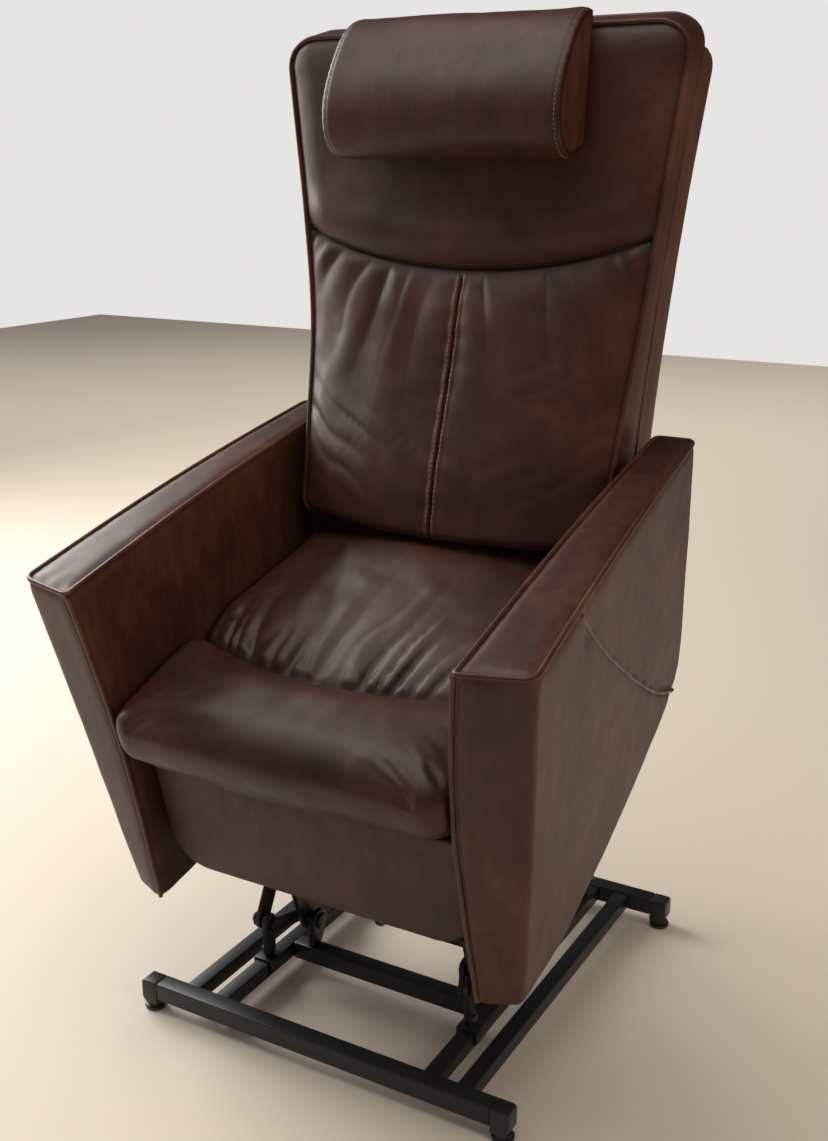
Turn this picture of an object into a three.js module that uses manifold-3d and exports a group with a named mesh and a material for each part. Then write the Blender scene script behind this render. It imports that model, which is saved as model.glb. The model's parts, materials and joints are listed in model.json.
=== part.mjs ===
// Powered rise-and-recline patient chair: a welded steel base, a four-bar lift linkage, and a padded
// seat with arms, back, legrest and sliding head pillow. Millimetres, +Z up, the sitter faces -Y.
// It is drawn raised: the seat assembly is lifted and tipped forward on its linkage.
// Floor pieces are placed in floor space and everything the linkage carries in seat space, which is
// floor space tipped by RAISED_TILT about the X axis. In both, Y = 0 is the front of the base.
import * as THREE from "three";
import { mergeVertices } from "three/addons/utils/BufferGeometryUtils.js";
import Module from "manifold-3d";

const wasm = await Module();
wasm.setup();

// ---- driving dimensions ----
const DEG = Math.PI / 180;
const GAP = 0.3; // between pieces that touch
const CENTRE_Y = 255.9; // from the base's front to the middle of the whole chair
const RAISED_TILT = 13.5; // degrees the seat space leans forward

const BASE_DEPTH = 625;
const BAR_HALF = 280; // half the length of the front and rear bars
const TUBE = 28; // bars' square section
const TUBE_Z = 22; // underside of the bars
const RAIL = 24; // side rails' section
const OUTER_RAIL_X = 230;
const INNER_RAIL_X = 177.6;
const MID_BAR_Y = 209.5;
const END_BLOCK = { width: 28, drop: 10, chamfer: [6, 8], top: 3 };
const GLIDE = { radius: 16, edge: 2, tall: 8, neck: 3 };
const POST_Z = 30; // foot of the stand posts' saddles

const FRONT_PIVOT = [147, 112]; // (y, z) of the front link on the stand post
const REAR_PIVOT = [220, 88]; // (y, z) of the lift arms on the middle bar's lugs
const FRONT_LINK = { length: 220, raised: 62, x: 187, thick: 8, half: 14 };
const REAR_CARRIER = [440, 210]; // (y, z) in seat space where the lift arms hold the side plates
const LIFT_ARM = { x: 150, thick: 8, half: 15, hub: 19 };
const CROSS_TUBE = { up: 66, radius: 12 }; // its centre, along the lift lever from the rear pivot
const SIDE_PLATE_X = 166;
const PIN = 6; // pivot pins' radius
const RUN = 0.5; // running clearance round a pin

const SEAT = { half: 253, front: 27, rear: 566, under: 443.5, edgeTop: 547 };
const SEAT_BASE = { half: 253.6, front: 142, rear: 555, low: 404, high: 438 };
const ARM = { front: 58, low: 195, high: 707, rearLow: 652, rearHigh: 701 };
const BACK_HINGE = [600, 440]; // (y, z) in seat space
const LEGREST_HINGE = [82, 434];
const LEGREST = { half: 245, front: 82, rear: 127, low: 243, high: 426 };
const BACK = { low: 600, high: 1262 };
const SHELL = { slope: 0.277, rearY: 857, rearAt: 1036, thick: 72, low: 462, high: 1220 };
const PILLOW = { half: 183, low: 1108, high: 1288 };
const CROSS_RAIL = { front: 152, rear: 520, deep: 24, low: 374 };
const LEVER = { length: 110, angle: 110 }; // the lift actuator's pin, from the rear pivot
const FORK_PIN = 4;
const FORK = { inner: 5.5, outer: 9.5 };
const SLOT = { length: 8, slack: 1.2 }; // radial slots that the forks' pins ride in
const LIFT_MOUNT = [590, 78]; // actuators' rear eyes, (y, z)
const BACK_MOUNT = [205, 335];
const BACK_DRIVE_X = -72;
const CRANK = [640, 362];
const BLADE = { half: 40, thick: 3, low: 1090, top: 1265, gapAt: 3 };

// ---- materials ----
const finish = (color, roughness, metalness) =>
  new THREE.MeshStandardMaterial({ color, roughness, metalness });
const LEATHER = finish(0x3d2218, 0.42, 0);
const STEEL = finish(0x17181a, 0.45, 0.6);
const ZINC = finish(0x8d8f92, 0.4, 0.9);
const RUBBER = finish(0x0d0d0e, 0.6, 0);
const PLASTIC = finish(0x1c1d1f, 0.5, 0);
const WOOD = finish(0xb89468, 0.7, 0);

// ---- geometry helpers ----
const rad = (degrees) => degrees * DEG;
const polar = ([y, z], length, degrees) => [
  y + length * Math.cos(rad(degrees)),
  z + length * Math.sin(rad(degrees)),
];
const lerp = (a, b, t) => a + (b - a) * t;
const clamp = (v, low, high) => Math.min(Math.max(v, low), high);

// The value at x of a line through [x, value] points, held level past its ends.
function along(points, x) {
  const found = points.findIndex((p) => p[0] > x);
  const k = found < 0 ? points.length - 1 : Math.max(found, 1);
  const [a, b] = [points[k - 1], points[k]];
  return lerp(a[1], b[1], clamp((x - a[0]) / (b[0] - a[0]), 0, 1));
}

// A smooth line through [z, y] points, as a function that gives y at a height z.
function profile(points) {
  const curve = new THREE.SplineCurve(points.map(([z, y]) => new THREE.Vector2(z, y)));
  const line = curve.getPoints(60).map((p) => [p.x, p.y]);
  return (z) => along(line, z);
}

// A floor-space point (y, z) in seat space, and back.
function turned([y, z], degrees) {
  const c = Math.cos(rad(degrees));
  const s = Math.sin(rad(degrees));
  return [y * c - z * s, y * s + z * c];
}
const toSeat = (point) => turned(point, -RAISED_TILT);
const toFloor = (point) => turned(point, RAISED_TILT);

function solid(geometry) {
  const g = geometry.clone();
  g.deleteAttribute("normal");
  g.deleteAttribute("uv");
  const merged = mergeVertices(g, 1e-3);
  return new wasm.Manifold(
    new wasm.Mesh({
      numProp: 3,
      vertProperties: new Float32Array(merged.attributes.position.array),
      triVerts: new Uint32Array(merged.index.array),
    }),
  );
}

function geometryOf(manifold) {
  const mesh = manifold.getMesh();
  const g = new THREE.BufferGeometry();
  g.setAttribute("position", new THREE.BufferAttribute(new Float32Array(mesh.vertProperties), 3));
  g.setIndex(new THREE.BufferAttribute(new Uint32Array(mesh.triVerts), 1));
  g.computeVertexNormals();
  return g;
}

const joined = (...pieces) => geometryOf(pieces.map(solid).reduce((a, b) => a.add(b)));
const cut = (piece, ...tools) =>
  geometryOf(tools.reduce((a, tool) => a.subtract(solid(tool)), solid(piece)));

// A box from its low and high corners.
function block(low, high) {
  const size = high.map((v, i) => v - low[i]);
  const g = new THREE.BoxGeometry(...size);
  return g.translate(...low.map((v, i) => v + size[i] / 2));
}

// A flat outline of [y, z] points, or a THREE.Shape in (y, z), made into a plate from x0 to x1.
function plate(outline, x0, x1) {
  const shape = outline instanceof THREE.Shape
    ? outline
    : new THREE.Shape(outline.map(([y, z]) => new THREE.Vector2(y, z)));
  const g = new THREE.ExtrudeGeometry(shape, { depth: x1 - x0, bevelEnabled: false, curveSegments: 5 });
  const axes = new THREE.Matrix4().makeBasis(
    new THREE.Vector3(0, 1, 0), new THREE.Vector3(0, 0, 1), new THREE.Vector3(1, 0, 0));
  return g.applyMatrix4(axes).translate(x0, 0, 0);
}

// A round bar along X.
function rod([y, z], radius, x0, x1, sides = 12) {
  const g = new THREE.CylinderGeometry(radius, radius, x1 - x0, sides);
  return g.rotateZ(Math.PI / 2).translate((x0 + x1) / 2, y, z);
}

// The outline of a flat link with round ends, half-width h, between two points.
function linkShape(a, b, h, hB = h) {
  const along = Math.atan2(b[1] - a[1], b[0] - a[0]);
  const shape = new THREE.Shape();
  shape.absarc(a[0], a[1], h, along + Math.PI / 2, along - Math.PI / 2, false);
  shape.absarc(b[0], b[1], hB, along - Math.PI / 2, along + Math.PI / 2, false);
  shape.closePath();
  return shape;
}

// A link plate with a hole at each listed point.
function drilled(shape, x0, x1, points, radius) {
  return cut(plate(shape, x0, x1), ...points.map((p) => rod(p, radius, x0 - 1, x1 + 1)));
}

// The cutter for a fork pin's slot, from `tip` towards `centre`.
function slot(tip, centre, x0, x1) {
  const reach = Math.hypot(centre[0] - tip[0], centre[1] - tip[1]);
  const inner = tip.map((v, i) => lerp(v, centre[i], SLOT.length / reach));
  return plate(linkShape(tip, inner, FORK_PIN + SLOT.slack), x0, x1);
}

// A rounded block of half sizes, warped by place(u, v, w) with u, v, w from -1 to 1.
function soft([nx, ny, nz], half, radius, place) {
  const g = new THREE.BoxGeometry(2, 2, 2, nx, ny, nz);
  const p = g.attributes.position;
  const spread = (t) => Math.sin((t * Math.PI) / 2);
  for (let i = 0; i < p.count; i++) {
    const at = [p.getX(i), p.getY(i), p.getZ(i)].map((t, k) => spread(t) * half[k]);
    const core = at.map((v, k) => clamp(v, radius - half[k], half[k] - radius));
    const out = new THREE.Vector3(...at.map((v, k) => v - core[k])).setLength(radius);
    const [u, v, w] = core.map((c, k) => (c + out.getComponent(k)) / half[k]);
    p.setXYZ(i, ...place(u, v, w));
  }
  g.computeVertexNormals();
  return g;
}

function add(group, name, geometry, material) {
  const mesh = new THREE.Mesh(geometry, material);
  mesh.name = name;
  group.add(mesh);
}

const SIDES = [["left", 1], ["right", -1]];
// x0 and x1 on the sitter's left; the right is their mirror image.
const span = (side, x0, x1) => (side > 0 ? [x0, x1] : [-x1, -x0]);

// ---- base ----
function buildBase(group) {
  const top = TUBE_Z + TUBE;
  const railLow = TUBE_Z + (TUBE - RAIL) / 2;
  const railHigh = railLow + RAIL;
  const bars = [["front", 0], ["rear", BASE_DEPTH - TUBE]];
  for (const [place, y] of bars) {
    const bar = block([-BAR_HALF, y, TUBE_Z], [BAR_HALF, y + TUBE, top]);
    add(group, `base_${place}_bar`, bar, STEEL);
  }
  for (const [side, s] of SIDES) {
    for (const [kind, x] of [["outer", OUTER_RAIL_X], ["inner", INNER_RAIL_X]]) {
      const [x0, x1] = span(s, x - RAIL / 2, x + RAIL / 2);
      const rail = block([x0, TUBE + GAP, railLow], [x1, BASE_DEPTH - TUBE - GAP, railHigh]);
      add(group, `${kind}_side_rail_${side}`, rail, STEEL);
    }
    for (const [place, y] of bars) {
      const x0 = BAR_HALF + GAP;
      const x1 = x0 + END_BLOCK.width;
      const low = TUBE_Z - END_BLOCK.drop;
      const [cutX, cutZ] = END_BLOCK.chamfer;
      const bevel = END_BLOCK.top;
      // The block hangs below the bar and its lower outer corner is cut away.
      const outline = new THREE.Shape([
        [x0, low], [x1 - cutX, low], [x1, low + cutZ], [x1, top - bevel], [x1 - bevel, top], [x0, top],
      ].map(([x, z]) => new THREE.Vector2(s * x, z)));
      const g = new THREE.ExtrudeGeometry(outline, { depth: TUBE, bevelEnabled: false });
      g.rotateX(Math.PI / 2).translate(0, y + TUBE, 0);
      add(group, `end_block_${place}_${side}`, g, STEEL);
      const { radius, edge, tall, neck } = GLIDE;
      const under = low - GAP;
      const section = [
        [0, 0], [radius - edge, 0], [radius, edge], [radius, tall], [radius - neck, under], [0, under],
      ];
      const glide = new THREE.LatheGeometry(section.map(([a, b]) => new THREE.Vector2(a, b)), 16);
      glide.rotateX(Math.PI / 2).translate(s * (x0 + END_BLOCK.width / 2), y + TUBE / 2, 0);
      add(group, `glide_${place}_${side}`, glide, RUBBER);
    }
  }
  const midX = INNER_RAIL_X - RAIL / 2 - GAP;
  const mid = block([-midX, MID_BAR_Y - 12.5, TUBE_Z], [midX, MID_BAR_Y + 12.5, top]);
  add(group, "base_middle_bar", mid, STEEL);
  return { top, railHigh };
}

// ---- stand posts, braces, lugs and stops on the base ----
function buildStands(group, { top, railHigh }) {
  for (const [side, s] of SIDES) {
    const [y, z] = FRONT_PIVOT;
    // The post is a strap on the rail's outer face, with a saddle foot over the rail.
    const outerFace = INNER_RAIL_X + RAIL / 2 + GAP;
    const innerFace = INNER_RAIL_X - RAIL / 2 - GAP;
    const [f0, f1] = span(s, innerFace - 4, outerFace + 4);
    const saddle = block([f0, y - 16, POST_Z], [f1, y + 16, railHigh + GAP + 4]);
    const [r0, r1] = span(s, innerFace, outerFace);
    const hollow = block([r0, y - 17, POST_Z - 10], [r1, y + 17, railHigh + GAP]);
    const [p0, p1] = span(s, 171, 179);
    const post = plate(linkShape([y, railHigh + 13], [y, z], 11, 13), p0, p1);
    const [q0, q1] = span(s, 171, 193);
    const foot = cut(saddle, hollow);
    add(group, `stand_post_${side}`, joined(foot, post, rod([y, z], PIN, q0, q1)), STEEL);

    // The brace runs from below the pivot down and back to the rail's top.
    const [b0, b1] = span(s, 164.5, 170.5);
    const braceTop = [y + 8, z - 8];
    const braceFoot = [y + 190, railHigh + 11.3];
    add(group, `stand_brace_${side}`, plate(linkShape(braceTop, braceFoot, 11), b0, b1), STEEL);

    const [l0, l1] = span(s, 128, 136);
    const lugShape = new THREE.Shape();
    lugShape.moveTo(MID_BAR_Y - 12, top + GAP);
    lugShape.lineTo(MID_BAR_Y + 12, top + GAP);
    lugShape.absarc(REAR_PIVOT[0], REAR_PIVOT[1], 19, rad(-20), rad(200), false);
    lugShape.closePath();
    add(group, `lift_arm_lug_${side}`, drilled(lugShape, l0, l1, [REAR_PIVOT], 12 + 2 * RUN), STEEL);

    const [t0, t1] = span(s, INNER_RAIL_X - 3, INNER_RAIL_X + 3);
    const stopShape = linkShape([560, railHigh + 12], [560, 84], 11.5);
    const bolt = rod([560, 84], 4, ...span(s, INNER_RAIL_X - 9, INNER_RAIL_X + 9), 12);
    add(group, `rear_stop_${side}`, joined(plate(stopShape, t0, t1), bolt), STEEL);
  }
}

// ---- lift arms, joined by a cross tube that carries the lift lever ----
function buildLiftArms(group) {
  const carrier = toFloor(REAR_CARRIER);
  const centre = polar(REAR_PIVOT, CROSS_TUBE.up, LEVER.angle);
  const { x, thick, half, hub } = LIFT_ARM;
  for (const [side, s] of SIDES) {
    const [x0, x1] = span(s, x - thick / 2, x + thick / 2);
    const arm = plate(linkShape(REAR_PIVOT, carrier, hub, half), x0, x1);
    const ear = plate(linkShape(REAR_PIVOT, centre, hub, hub), x0, x1);
    const journal = rod(REAR_PIVOT, CROSS_TUBE.radius, ...span(s, 124, x + thick / 2));
    const carrierHole = rod(carrier, PIN + RUN, x0 - 1, x1 + 1);
    const tubeHole = rod(centre, CROSS_TUBE.radius + GAP, x0 - 1, x1 + 1);
    add(group, `lift_arm_${side}`, cut(joined(arm, ear, journal), carrierHole, tubeHole), STEEL);
  }
  const reach = x + thick / 2 + 3;
  const tip = polar(REAR_PIVOT, LEVER.length, LEVER.angle);
  const lever = cut(plate(linkShape(centre, tip, 18, 12), -4, 4), slot(tip, REAR_PIVOT, -5, 5));
  add(group, "lift_cross_tube", joined(rod(centre, CROSS_TUBE.radius, -reach, reach), lever), STEEL);
}

function buildFrontLinks(group) {
  const tip = polar(FRONT_PIVOT, FRONT_LINK.length, FRONT_LINK.raised);
  for (const [side, s] of SIDES) {
    const half = FRONT_LINK.thick / 2;
    const [x0, x1] = span(s, FRONT_LINK.x - half, FRONT_LINK.x + half);
    const shape = linkShape(FRONT_PIVOT, tip, FRONT_LINK.half);
    const blank = cut(plate(shape, x0, x1), rod(FRONT_PIVOT, PIN + RUN, x0 - 1, x1 + 1));
    // The upper eye is oversize: the linkage is open at this pivot.
    add(group, `front_link_${side}`, cut(blank, rod(tip, PIN + 2.5, x0 - 1, x1 + 1)), STEEL);
  }
}

// ---- seat assembly carried by the linkage ----
function buildSeatFrame(group) {
  const frontCarrier = toSeat(polar(FRONT_PIVOT, FRONT_LINK.length, FRONT_LINK.raised));
  const plateTop = SEAT_BASE.low - GAP;
  for (const [side, s] of SIDES) {
    const [x0, x1] = span(s, SIDE_PLATE_X - 3, SIDE_PLATE_X + 3);
    const outline = [
      [REAR_CARRIER[0] + 20, REAR_CARRIER[1] - 18], [550, 350], [550, plateTop], [150, plateTop],
      [150, 365], [frontCarrier[0] - 20, frontCarrier[1] - 18], [frontCarrier[0], frontCarrier[1] - 22],
      [REAR_CARRIER[0] - 20, REAR_CARRIER[1] - 18],
    ];
    const frontPin = rod(frontCarrier, PIN, ...span(s, SIDE_PLATE_X, 195));
    const rearPin = rod(REAR_CARRIER, PIN, ...span(s, 143, SIDE_PLATE_X));
    const sheet = plate(outline, x0, x1);
    add(group, `mechanism_plate_${side}`, joined(sheet, frontPin, rearPin), STEEL);
  }
  const inner = SIDE_PLATE_X - 3 - GAP;
  for (const place of ["front", "rear"]) {
    const y = CROSS_RAIL[place];
    const rail = block([-inner, y, CROSS_RAIL.low], [inner, y + CROSS_RAIL.deep, plateTop]);
    add(group, `${place}_cross_rail`, rail, STEEL);
  }
  const { half, front, rear, low, high } = SEAT_BASE;
  add(group, "seat_base", block([-half, front, low], [half, rear, high]), WOOD);
  for (const [side, s] of SIDES) {
    const [hy, hz] = BACK_HINGE;
    const strap = new THREE.Shape();
    strap.moveTo(rear + GAP, low);
    strap.lineTo(hy - 8, low);
    strap.absarc(hy, hz, 15, rad(-60), rad(90), false);
    strap.lineTo(hy - 18, high + 1);
    strap.lineTo(rear + GAP, high);
    strap.closePath();
    const pin = rod(BACK_HINGE, PIN, ...span(s, 218, 235));
    const bracket = plate(strap, ...span(s, 229, 235));
    add(group, `back_hinge_bracket_${side}`, joined(bracket, pin), STEEL);

    const [ly, lz] = LEGREST_HINGE;
    const ear = new THREE.Shape();
    ear.absarc(ly, lz, 7, rad(90), rad(270), false);
    ear.lineTo(front - GAP - 4, lz - 5);
    ear.lineTo(front - GAP, low + 6);
    ear.lineTo(front - GAP, high);
    ear.lineTo(ly + 20, lz + 7);
    ear.closePath();
    const ledge = plate(ear, ...span(s, 200, 206));
    const stub = rod(LEGREST_HINGE, 3.5, ...span(s, 200, 216));
    add(group, `legrest_bracket_${side}`, joined(ledge, stub), STEEL);
  }
}

// Seat top: level at its edges, dipping behind the front roll and crowned towards the back.
function seatTop(u, y) {
  const rise = clamp((y - 197) / 295, 0, 1);
  const centre = lerp(525, 588, rise * rise * (3 - 2 * rise)) - 22 * clamp((y - 492) / 74, 0, 1) ** 2;
  const front = 545 - 20 * Math.sin((Math.PI / 2) * clamp((y - 60) / 137, 0, 1)) ** 2;
  return lerp(SEAT.edgeTop, y < 197 ? front : centre, Math.max(0, 1 - u * u));
}

function buildSeatCushion(group) {
  const { half, front, rear, under } = SEAT;
  const depth = (rear - front) / 2;
  const height = (SEAT.edgeTop - under) / 2;
  const geometry = soft([8, 8, 4], [half, depth, height], 26, (u, v, w) => {
    const y = lerp(front, rear, (v + 1) / 2);
    return [u * half, y, lerp(under, seatTop(u, y), (w + 1) / 2)];
  });
  add(group, "seat_cushion", geometry, LEATHER);
}

// Arm panel: its outer face leans out towards the top and its front edge is splayed back.
const armDepth = (y) => clamp((y - ARM.front) / (ARM.rearHigh - ARM.front), 0, 1);
function armOuter(y, z) {
  const t = clamp((z - ARM.low) / (ARM.high - ARM.low), 0, 1);
  return lerp(lerp(314, 375, t), lerp(310, 336, t), armDepth(y));
}
function armInner(y, z) {
  const lower = 255.5 + 3.5 * clamp((330 - z) / 130, 0, 1);
  const upper = 255.5 + 27 * clamp((z - 440) / 267, 0, 1) ** 1.6;
  return z < 440 ? lower : upper - 7 * armDepth(y) * clamp((z - 560) / 147, 0, 1);
}
const armSill = (y) => along([[58, 195], [176, 191], [408, 243], [593, 308], [652, 335]], y);

function buildArms(group) {
  for (const [side, s] of SIDES) {
    const geometry = soft([2, 8, 8], [40, 320, 255], 9, (u, v, w) => {
      const t = (w + 1) / 2;
      const rear = lerp(ARM.rearLow, ARM.rearHigh, Math.sqrt(t));
      const y = lerp(ARM.front, rear, (v + 1) / 2);
      const crown = 8 * Math.sin((Math.PI * (v + 1)) / 2);
      const z = lerp(armSill(y), ARM.high + crown, t);
      const outward = (u + 1) / 2;
      const splay = lerp(-11, 9, outward) * clamp(1 - (y - ARM.front) / 60, 0, 1);
      return [s * lerp(armInner(y, z), armOuter(y, z), outward), y + splay, z];
    });
    add(group, `arm_${side}`, s > 0 ? geometry : mirrored(geometry), LEATHER);
  }
}

// Turns every face round, for a shape whose X was negated.
function mirrored(geometry) {
  const index = geometry.index.array;
  for (let i = 0; i < index.length; i += 3) {
    [index[i + 1], index[i + 2]] = [index[i + 2], index[i + 1]];
  }
  geometry.computeVertexNormals();
  return geometry;
}

// ---- legrest ----
function buildLegrest(group) {
  const { half, front, rear, low, high } = LEGREST;
  const panel = soft([6, 2, 4], [half, (rear - front) / 2, (high - low) / 2], 10, (u, v, w) => {
    const narrow = 20 * clamp((-w - 0.5) / 0.5, 0, 1) ** 2;
    return [u * (half - narrow), lerp(front, rear, (v + 1) / 2), lerp(low, high, (w + 1) / 2)];
  });
  add(group, "legrest_panel", panel, LEATHER);
  const back = rear + GAP;
  add(group, "legrest_board", block([-208, back, 320], [208, back + 4, 416]), STEEL);
  for (const [side, s] of SIDES) {
    const [y, z] = LEGREST_HINGE;
    const outline = new THREE.Shape();
    outline.absarc(y, z, 6.5, rad(90), rad(270), false);
    outline.lineTo(back, z - 6.5);
    outline.lineTo(back, 300);
    outline.lineTo(back + 5, 300);
    outline.lineTo(back + 5, z + 2);
    outline.lineTo(back, z + 6.5);
    outline.closePath();
    const strap = drilled(outline, ...span(s, 208.5, 214.5), [LEGREST_HINGE], 3.5 + RUN);
    add(group, `legrest_strap_${side}`, strap, STEEL);
  }
}

// ---- backrest ----
const shellRear = (z) => SHELL.rearY - SHELL.slope * (SHELL.rearAt - z);
const shellFront = (z) => shellRear(z) - SHELL.thick;
// The piped edge of the back cushion in side view, and half its width.
const edgeY = profile([[BACK.low, 535], [730, 599], [870, 668], [1014, 714], [BACK.high, 784]]);
function backHalf(z) {
  return 251.5 + 61.5 * clamp((z - BACK.low) / (1215 - BACK.low), 0, 1.05) ** 1.45;
}
// How far the cushion's face stands in front of its piped edge at the middle of its width.
const backCrown = (z) => lerp(46, 8, clamp((z - 600) / 320, 0, 1));

function buildBackrest(group) {
  const rise = (BACK.high - BACK.low) / 2;
  const cushion = soft([6, 2, 10], [280, 55, rise], 22, (u, v, w) => {
    const z = lerp(BACK.low, BACK.high, (w + 1) / 2);
    const rear = shellFront(z) - 10;
    const face = edgeY(z) - backCrown(z) * Math.max(0, 1 - u * u);
    return [u * backHalf(z), lerp(face, rear, (v + 1) / 2), z];
  });
  add(group, "back_cushion", cushion, LEATHER);

  const shellRise = (SHELL.high - SHELL.low) / 2;
  const shell = soft([4, 2, 6], [280, SHELL.thick / 2, shellRise], 20, (u, v, w) => {
    const z = lerp(SHELL.low, SHELL.high, (w + 1) / 2);
    const half = backHalf(z) - lerp(3, 5, (1 - w) / 2);
    return [u * half, lerp(shellFront(z), shellRear(z), (v + 1) / 2), z];
  });
  add(group, "back_shell", shell, LEATHER);

  const [hy, hz] = BACK_HINGE;
  const foot = (z) => shellFront(z) - GAP;
  for (const [side, s] of SIDES) {
    const outline = new THREE.Shape();
    outline.absarc(hy, hz, 14, rad(150), rad(330), false);
    outline.lineTo(foot(486), 486);
    outline.lineTo(foot(538), 538);
    outline.lineTo(foot(538) - 12, 538);
    outline.closePath();
    const leaf = drilled(outline, ...span(s, 220, 226), [BACK_HINGE], PIN + RUN);
    add(group, `back_hinge_plate_${side}`, leaf, STEEL);
  }
  const crank = new THREE.Shape();
  crank.absarc(CRANK[0], CRANK[1], 12, rad(180), rad(0), false);
  crank.lineTo(foot(SHELL.low), SHELL.low - 6);
  crank.lineTo(foot(486), 486);
  crank.lineTo(foot(530), 530);
  crank.lineTo(foot(530) - 14, 530);
  crank.lineTo(foot(SHELL.low) - 18, SHELL.low - 6);
  crank.closePath();
  const [x0, x1] = [BACK_DRIVE_X - 4, BACK_DRIVE_X + 4];
  const slotted = cut(plate(crank, x0, x1), slot(CRANK, BACK_HINGE, x0 - 1, x1 + 1));
  add(group, "back_crank", slotted, STEEL);
}

// ---- head pillow on its slide ----
// Its face bulges forward between the lower and the upper edge.
const pillowFace = profile([
  [PILLOW.low, 668], [1128, 643], [1165, 635], [1204, 648], [1246, 684], [1276, 722], [PILLOW.high, 752],
]);

function buildPillow(group) {
  const rise = (PILLOW.high - PILLOW.low) / 2;
  const pillow = soft([4, 4, 8], [PILLOW.half, 45, rise], 16, (u, v, w) => {
    const z = lerp(PILLOW.low, PILLOW.high, (w + 1) / 2);
    const rear = edgeY(z) - backCrown(z) - 8;
    return [u * PILLOW.half, lerp(pillowFace(z), rear, (v + 1) / 2), z];
  });
  add(group, "head_pillow", pillow, LEATHER);

  // The slide blade hooks over the cushion's top and runs down the gap in front of the shell.
  const { low, gapAt, thick, top, half } = BLADE;
  const lane = (z) => shellFront(z) - gapAt;
  const blade = plate([
    [772, top], [lane(top) - thick, top], [lane(low) - thick, low], [lane(low), low],
    [lane(top + thick), top + thick], [772, top + thick],
  ], -half, half);
  add(group, "head_pillow_blade", blade, ZINC);
}

// ---- linear actuators ----
// Each is drawn in a local space whose Y runs from the rear eye towards the fork.
// Its motor hangs below the gearbox.
function buildActuator(group, { name, x, from, to, bodyLength, rodStart }) {
  const length = Math.hypot(to[0] - from[0], to[1] - from[1]);
  const angle = Math.atan2(to[1] - from[1], to[0] - from[0]);
  const place = (g) => g.rotateX(angle).translate(x, from[0], from[1]);
  const tube = (radius, y0, y1) =>
    new THREE.CylinderGeometry(radius, radius, y1 - y0, 12).translate(0, (y0 + y1) / 2, 0);
  const eye = plate(linkShape([0, 0], [22, 0], 9), -5, 5);
  const gearbox = block([-20, 20, -20], [20, 62, 20]);
  const motor = new THREE.CylinderGeometry(18, 18, 92, 12).rotateX(Math.PI / 2);
  motor.translate(0, 41, -58);
  const shell = joined(eye, tube(15, 58, bodyLength), gearbox, motor);
  const body = cut(shell, rod([0, 0], FORK_PIN + RUN, -6, 6), tube(8 + RUN, 66, bodyLength + 1));
  add(group, `${name}_actuator_body`, place(body), PLASTIC);

  const head = block([-FORK.outer, length - 38, -9], [FORK.outer, length - 31, 9]);
  const cheeks = [-FORK.outer, FORK.inner].map((x0) =>
    plate(linkShape([length - 34, 0], [length, 0], 9), x0, x0 + FORK.outer - FORK.inner));
  const pin = rod([length, 0], FORK_PIN, -FORK.outer, FORK.outer);
  const rodWithFork = joined(tube(8, rodStart, length - 34), head, ...cheeks, pin);
  add(group, `${name}_actuator_rod`, place(rodWithFork), ZINC);
}

// Two ears, a web and a pin that hold an actuator's rear eye at `at`. The web lies on the rail between
// the two [y, z] points of `seat`, on the side that `inset` steps away from.
function buildClevis(group, name, x, at, seat, inset) {
  const [a, b] = seat;
  const toEye = Math.atan2(at[1] - (a[1] + b[1]) / 2, at[0] - (a[0] + b[0]) / 2);
  const outline = new THREE.Shape();
  outline.moveTo(...a);
  outline.lineTo(...b);
  outline.absarc(at[0], at[1], 11, toEye - Math.PI / 2, toEye + Math.PI / 2, false);
  outline.closePath();
  const ears = [[-10, -6], [6, 10]].map(([x0, x1]) => plate(outline, x0, x1));
  const step = ([y, z]) => [y + inset[0], z + inset[1]];
  const web = plate([a, b, step(b), step(a)], -10, 10);
  const pin = rod(at, FORK_PIN, -10, 10);
  add(group, name, joined(...ears, web, pin).translate(x, 0, 0), STEEL);
}

function buildDrives(floorSpace, seatSpace) {
  const tip = polar(REAR_PIVOT, LEVER.length, LEVER.angle);
  buildActuator(floorSpace, {
    name: "lift", x: 0, from: LIFT_MOUNT, to: tip, bodyLength: 235, rodStart: 152,
  });
  buildActuator(seatSpace, {
    name: "back", x: BACK_DRIVE_X, from: BACK_MOUNT, to: CRANK, bodyLength: 260, rodStart: 136,
  });
  const barTop = TUBE_Z + TUBE + GAP;
  const railY = BASE_DEPTH - TUBE;
  buildClevis(floorSpace, "lift_actuator_clevis", 0, LIFT_MOUNT,
    [[railY + 2, barTop], [railY + 24, barTop]], [0, 4]);
  const railBack = CROSS_RAIL.front + CROSS_RAIL.deep + GAP;
  buildClevis(seatSpace, "back_actuator_clevis", BACK_DRIVE_X, BACK_MOUNT,
    [[railBack, CROSS_RAIL.low + 27], [railBack, CROSS_RAIL.low + 1]], [4, 0]);
}

// ---- assembly ----
const root = new THREE.Group();
root.position.y = -CENTRE_Y;
const floorSpace = new THREE.Group();
const seatSpace = new THREE.Group();
seatSpace.rotation.x = rad(RAISED_TILT);
root.add(floorSpace, seatSpace);

const levels = buildBase(floorSpace);
buildStands(floorSpace, levels);
buildLiftArms(floorSpace);
buildFrontLinks(floorSpace);
buildSeatFrame(seatSpace);
buildSeatCushion(seatSpace);
buildArms(seatSpace);
buildLegrest(seatSpace);
buildBackrest(seatSpace);
buildPillow(seatSpace);
buildDrives(floorSpace, seatSpace);

export default root;
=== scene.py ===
# The looks of the rise-and-recline patient chair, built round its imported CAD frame. Metres, row frame.
# Padded pieces are shaped in seat space: millimetres in the chair's own level attitude, with Y = 0 at
# the front of the base. to_row() tips a seat-space point forward and gives it in the row frame.
import json
import math

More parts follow.
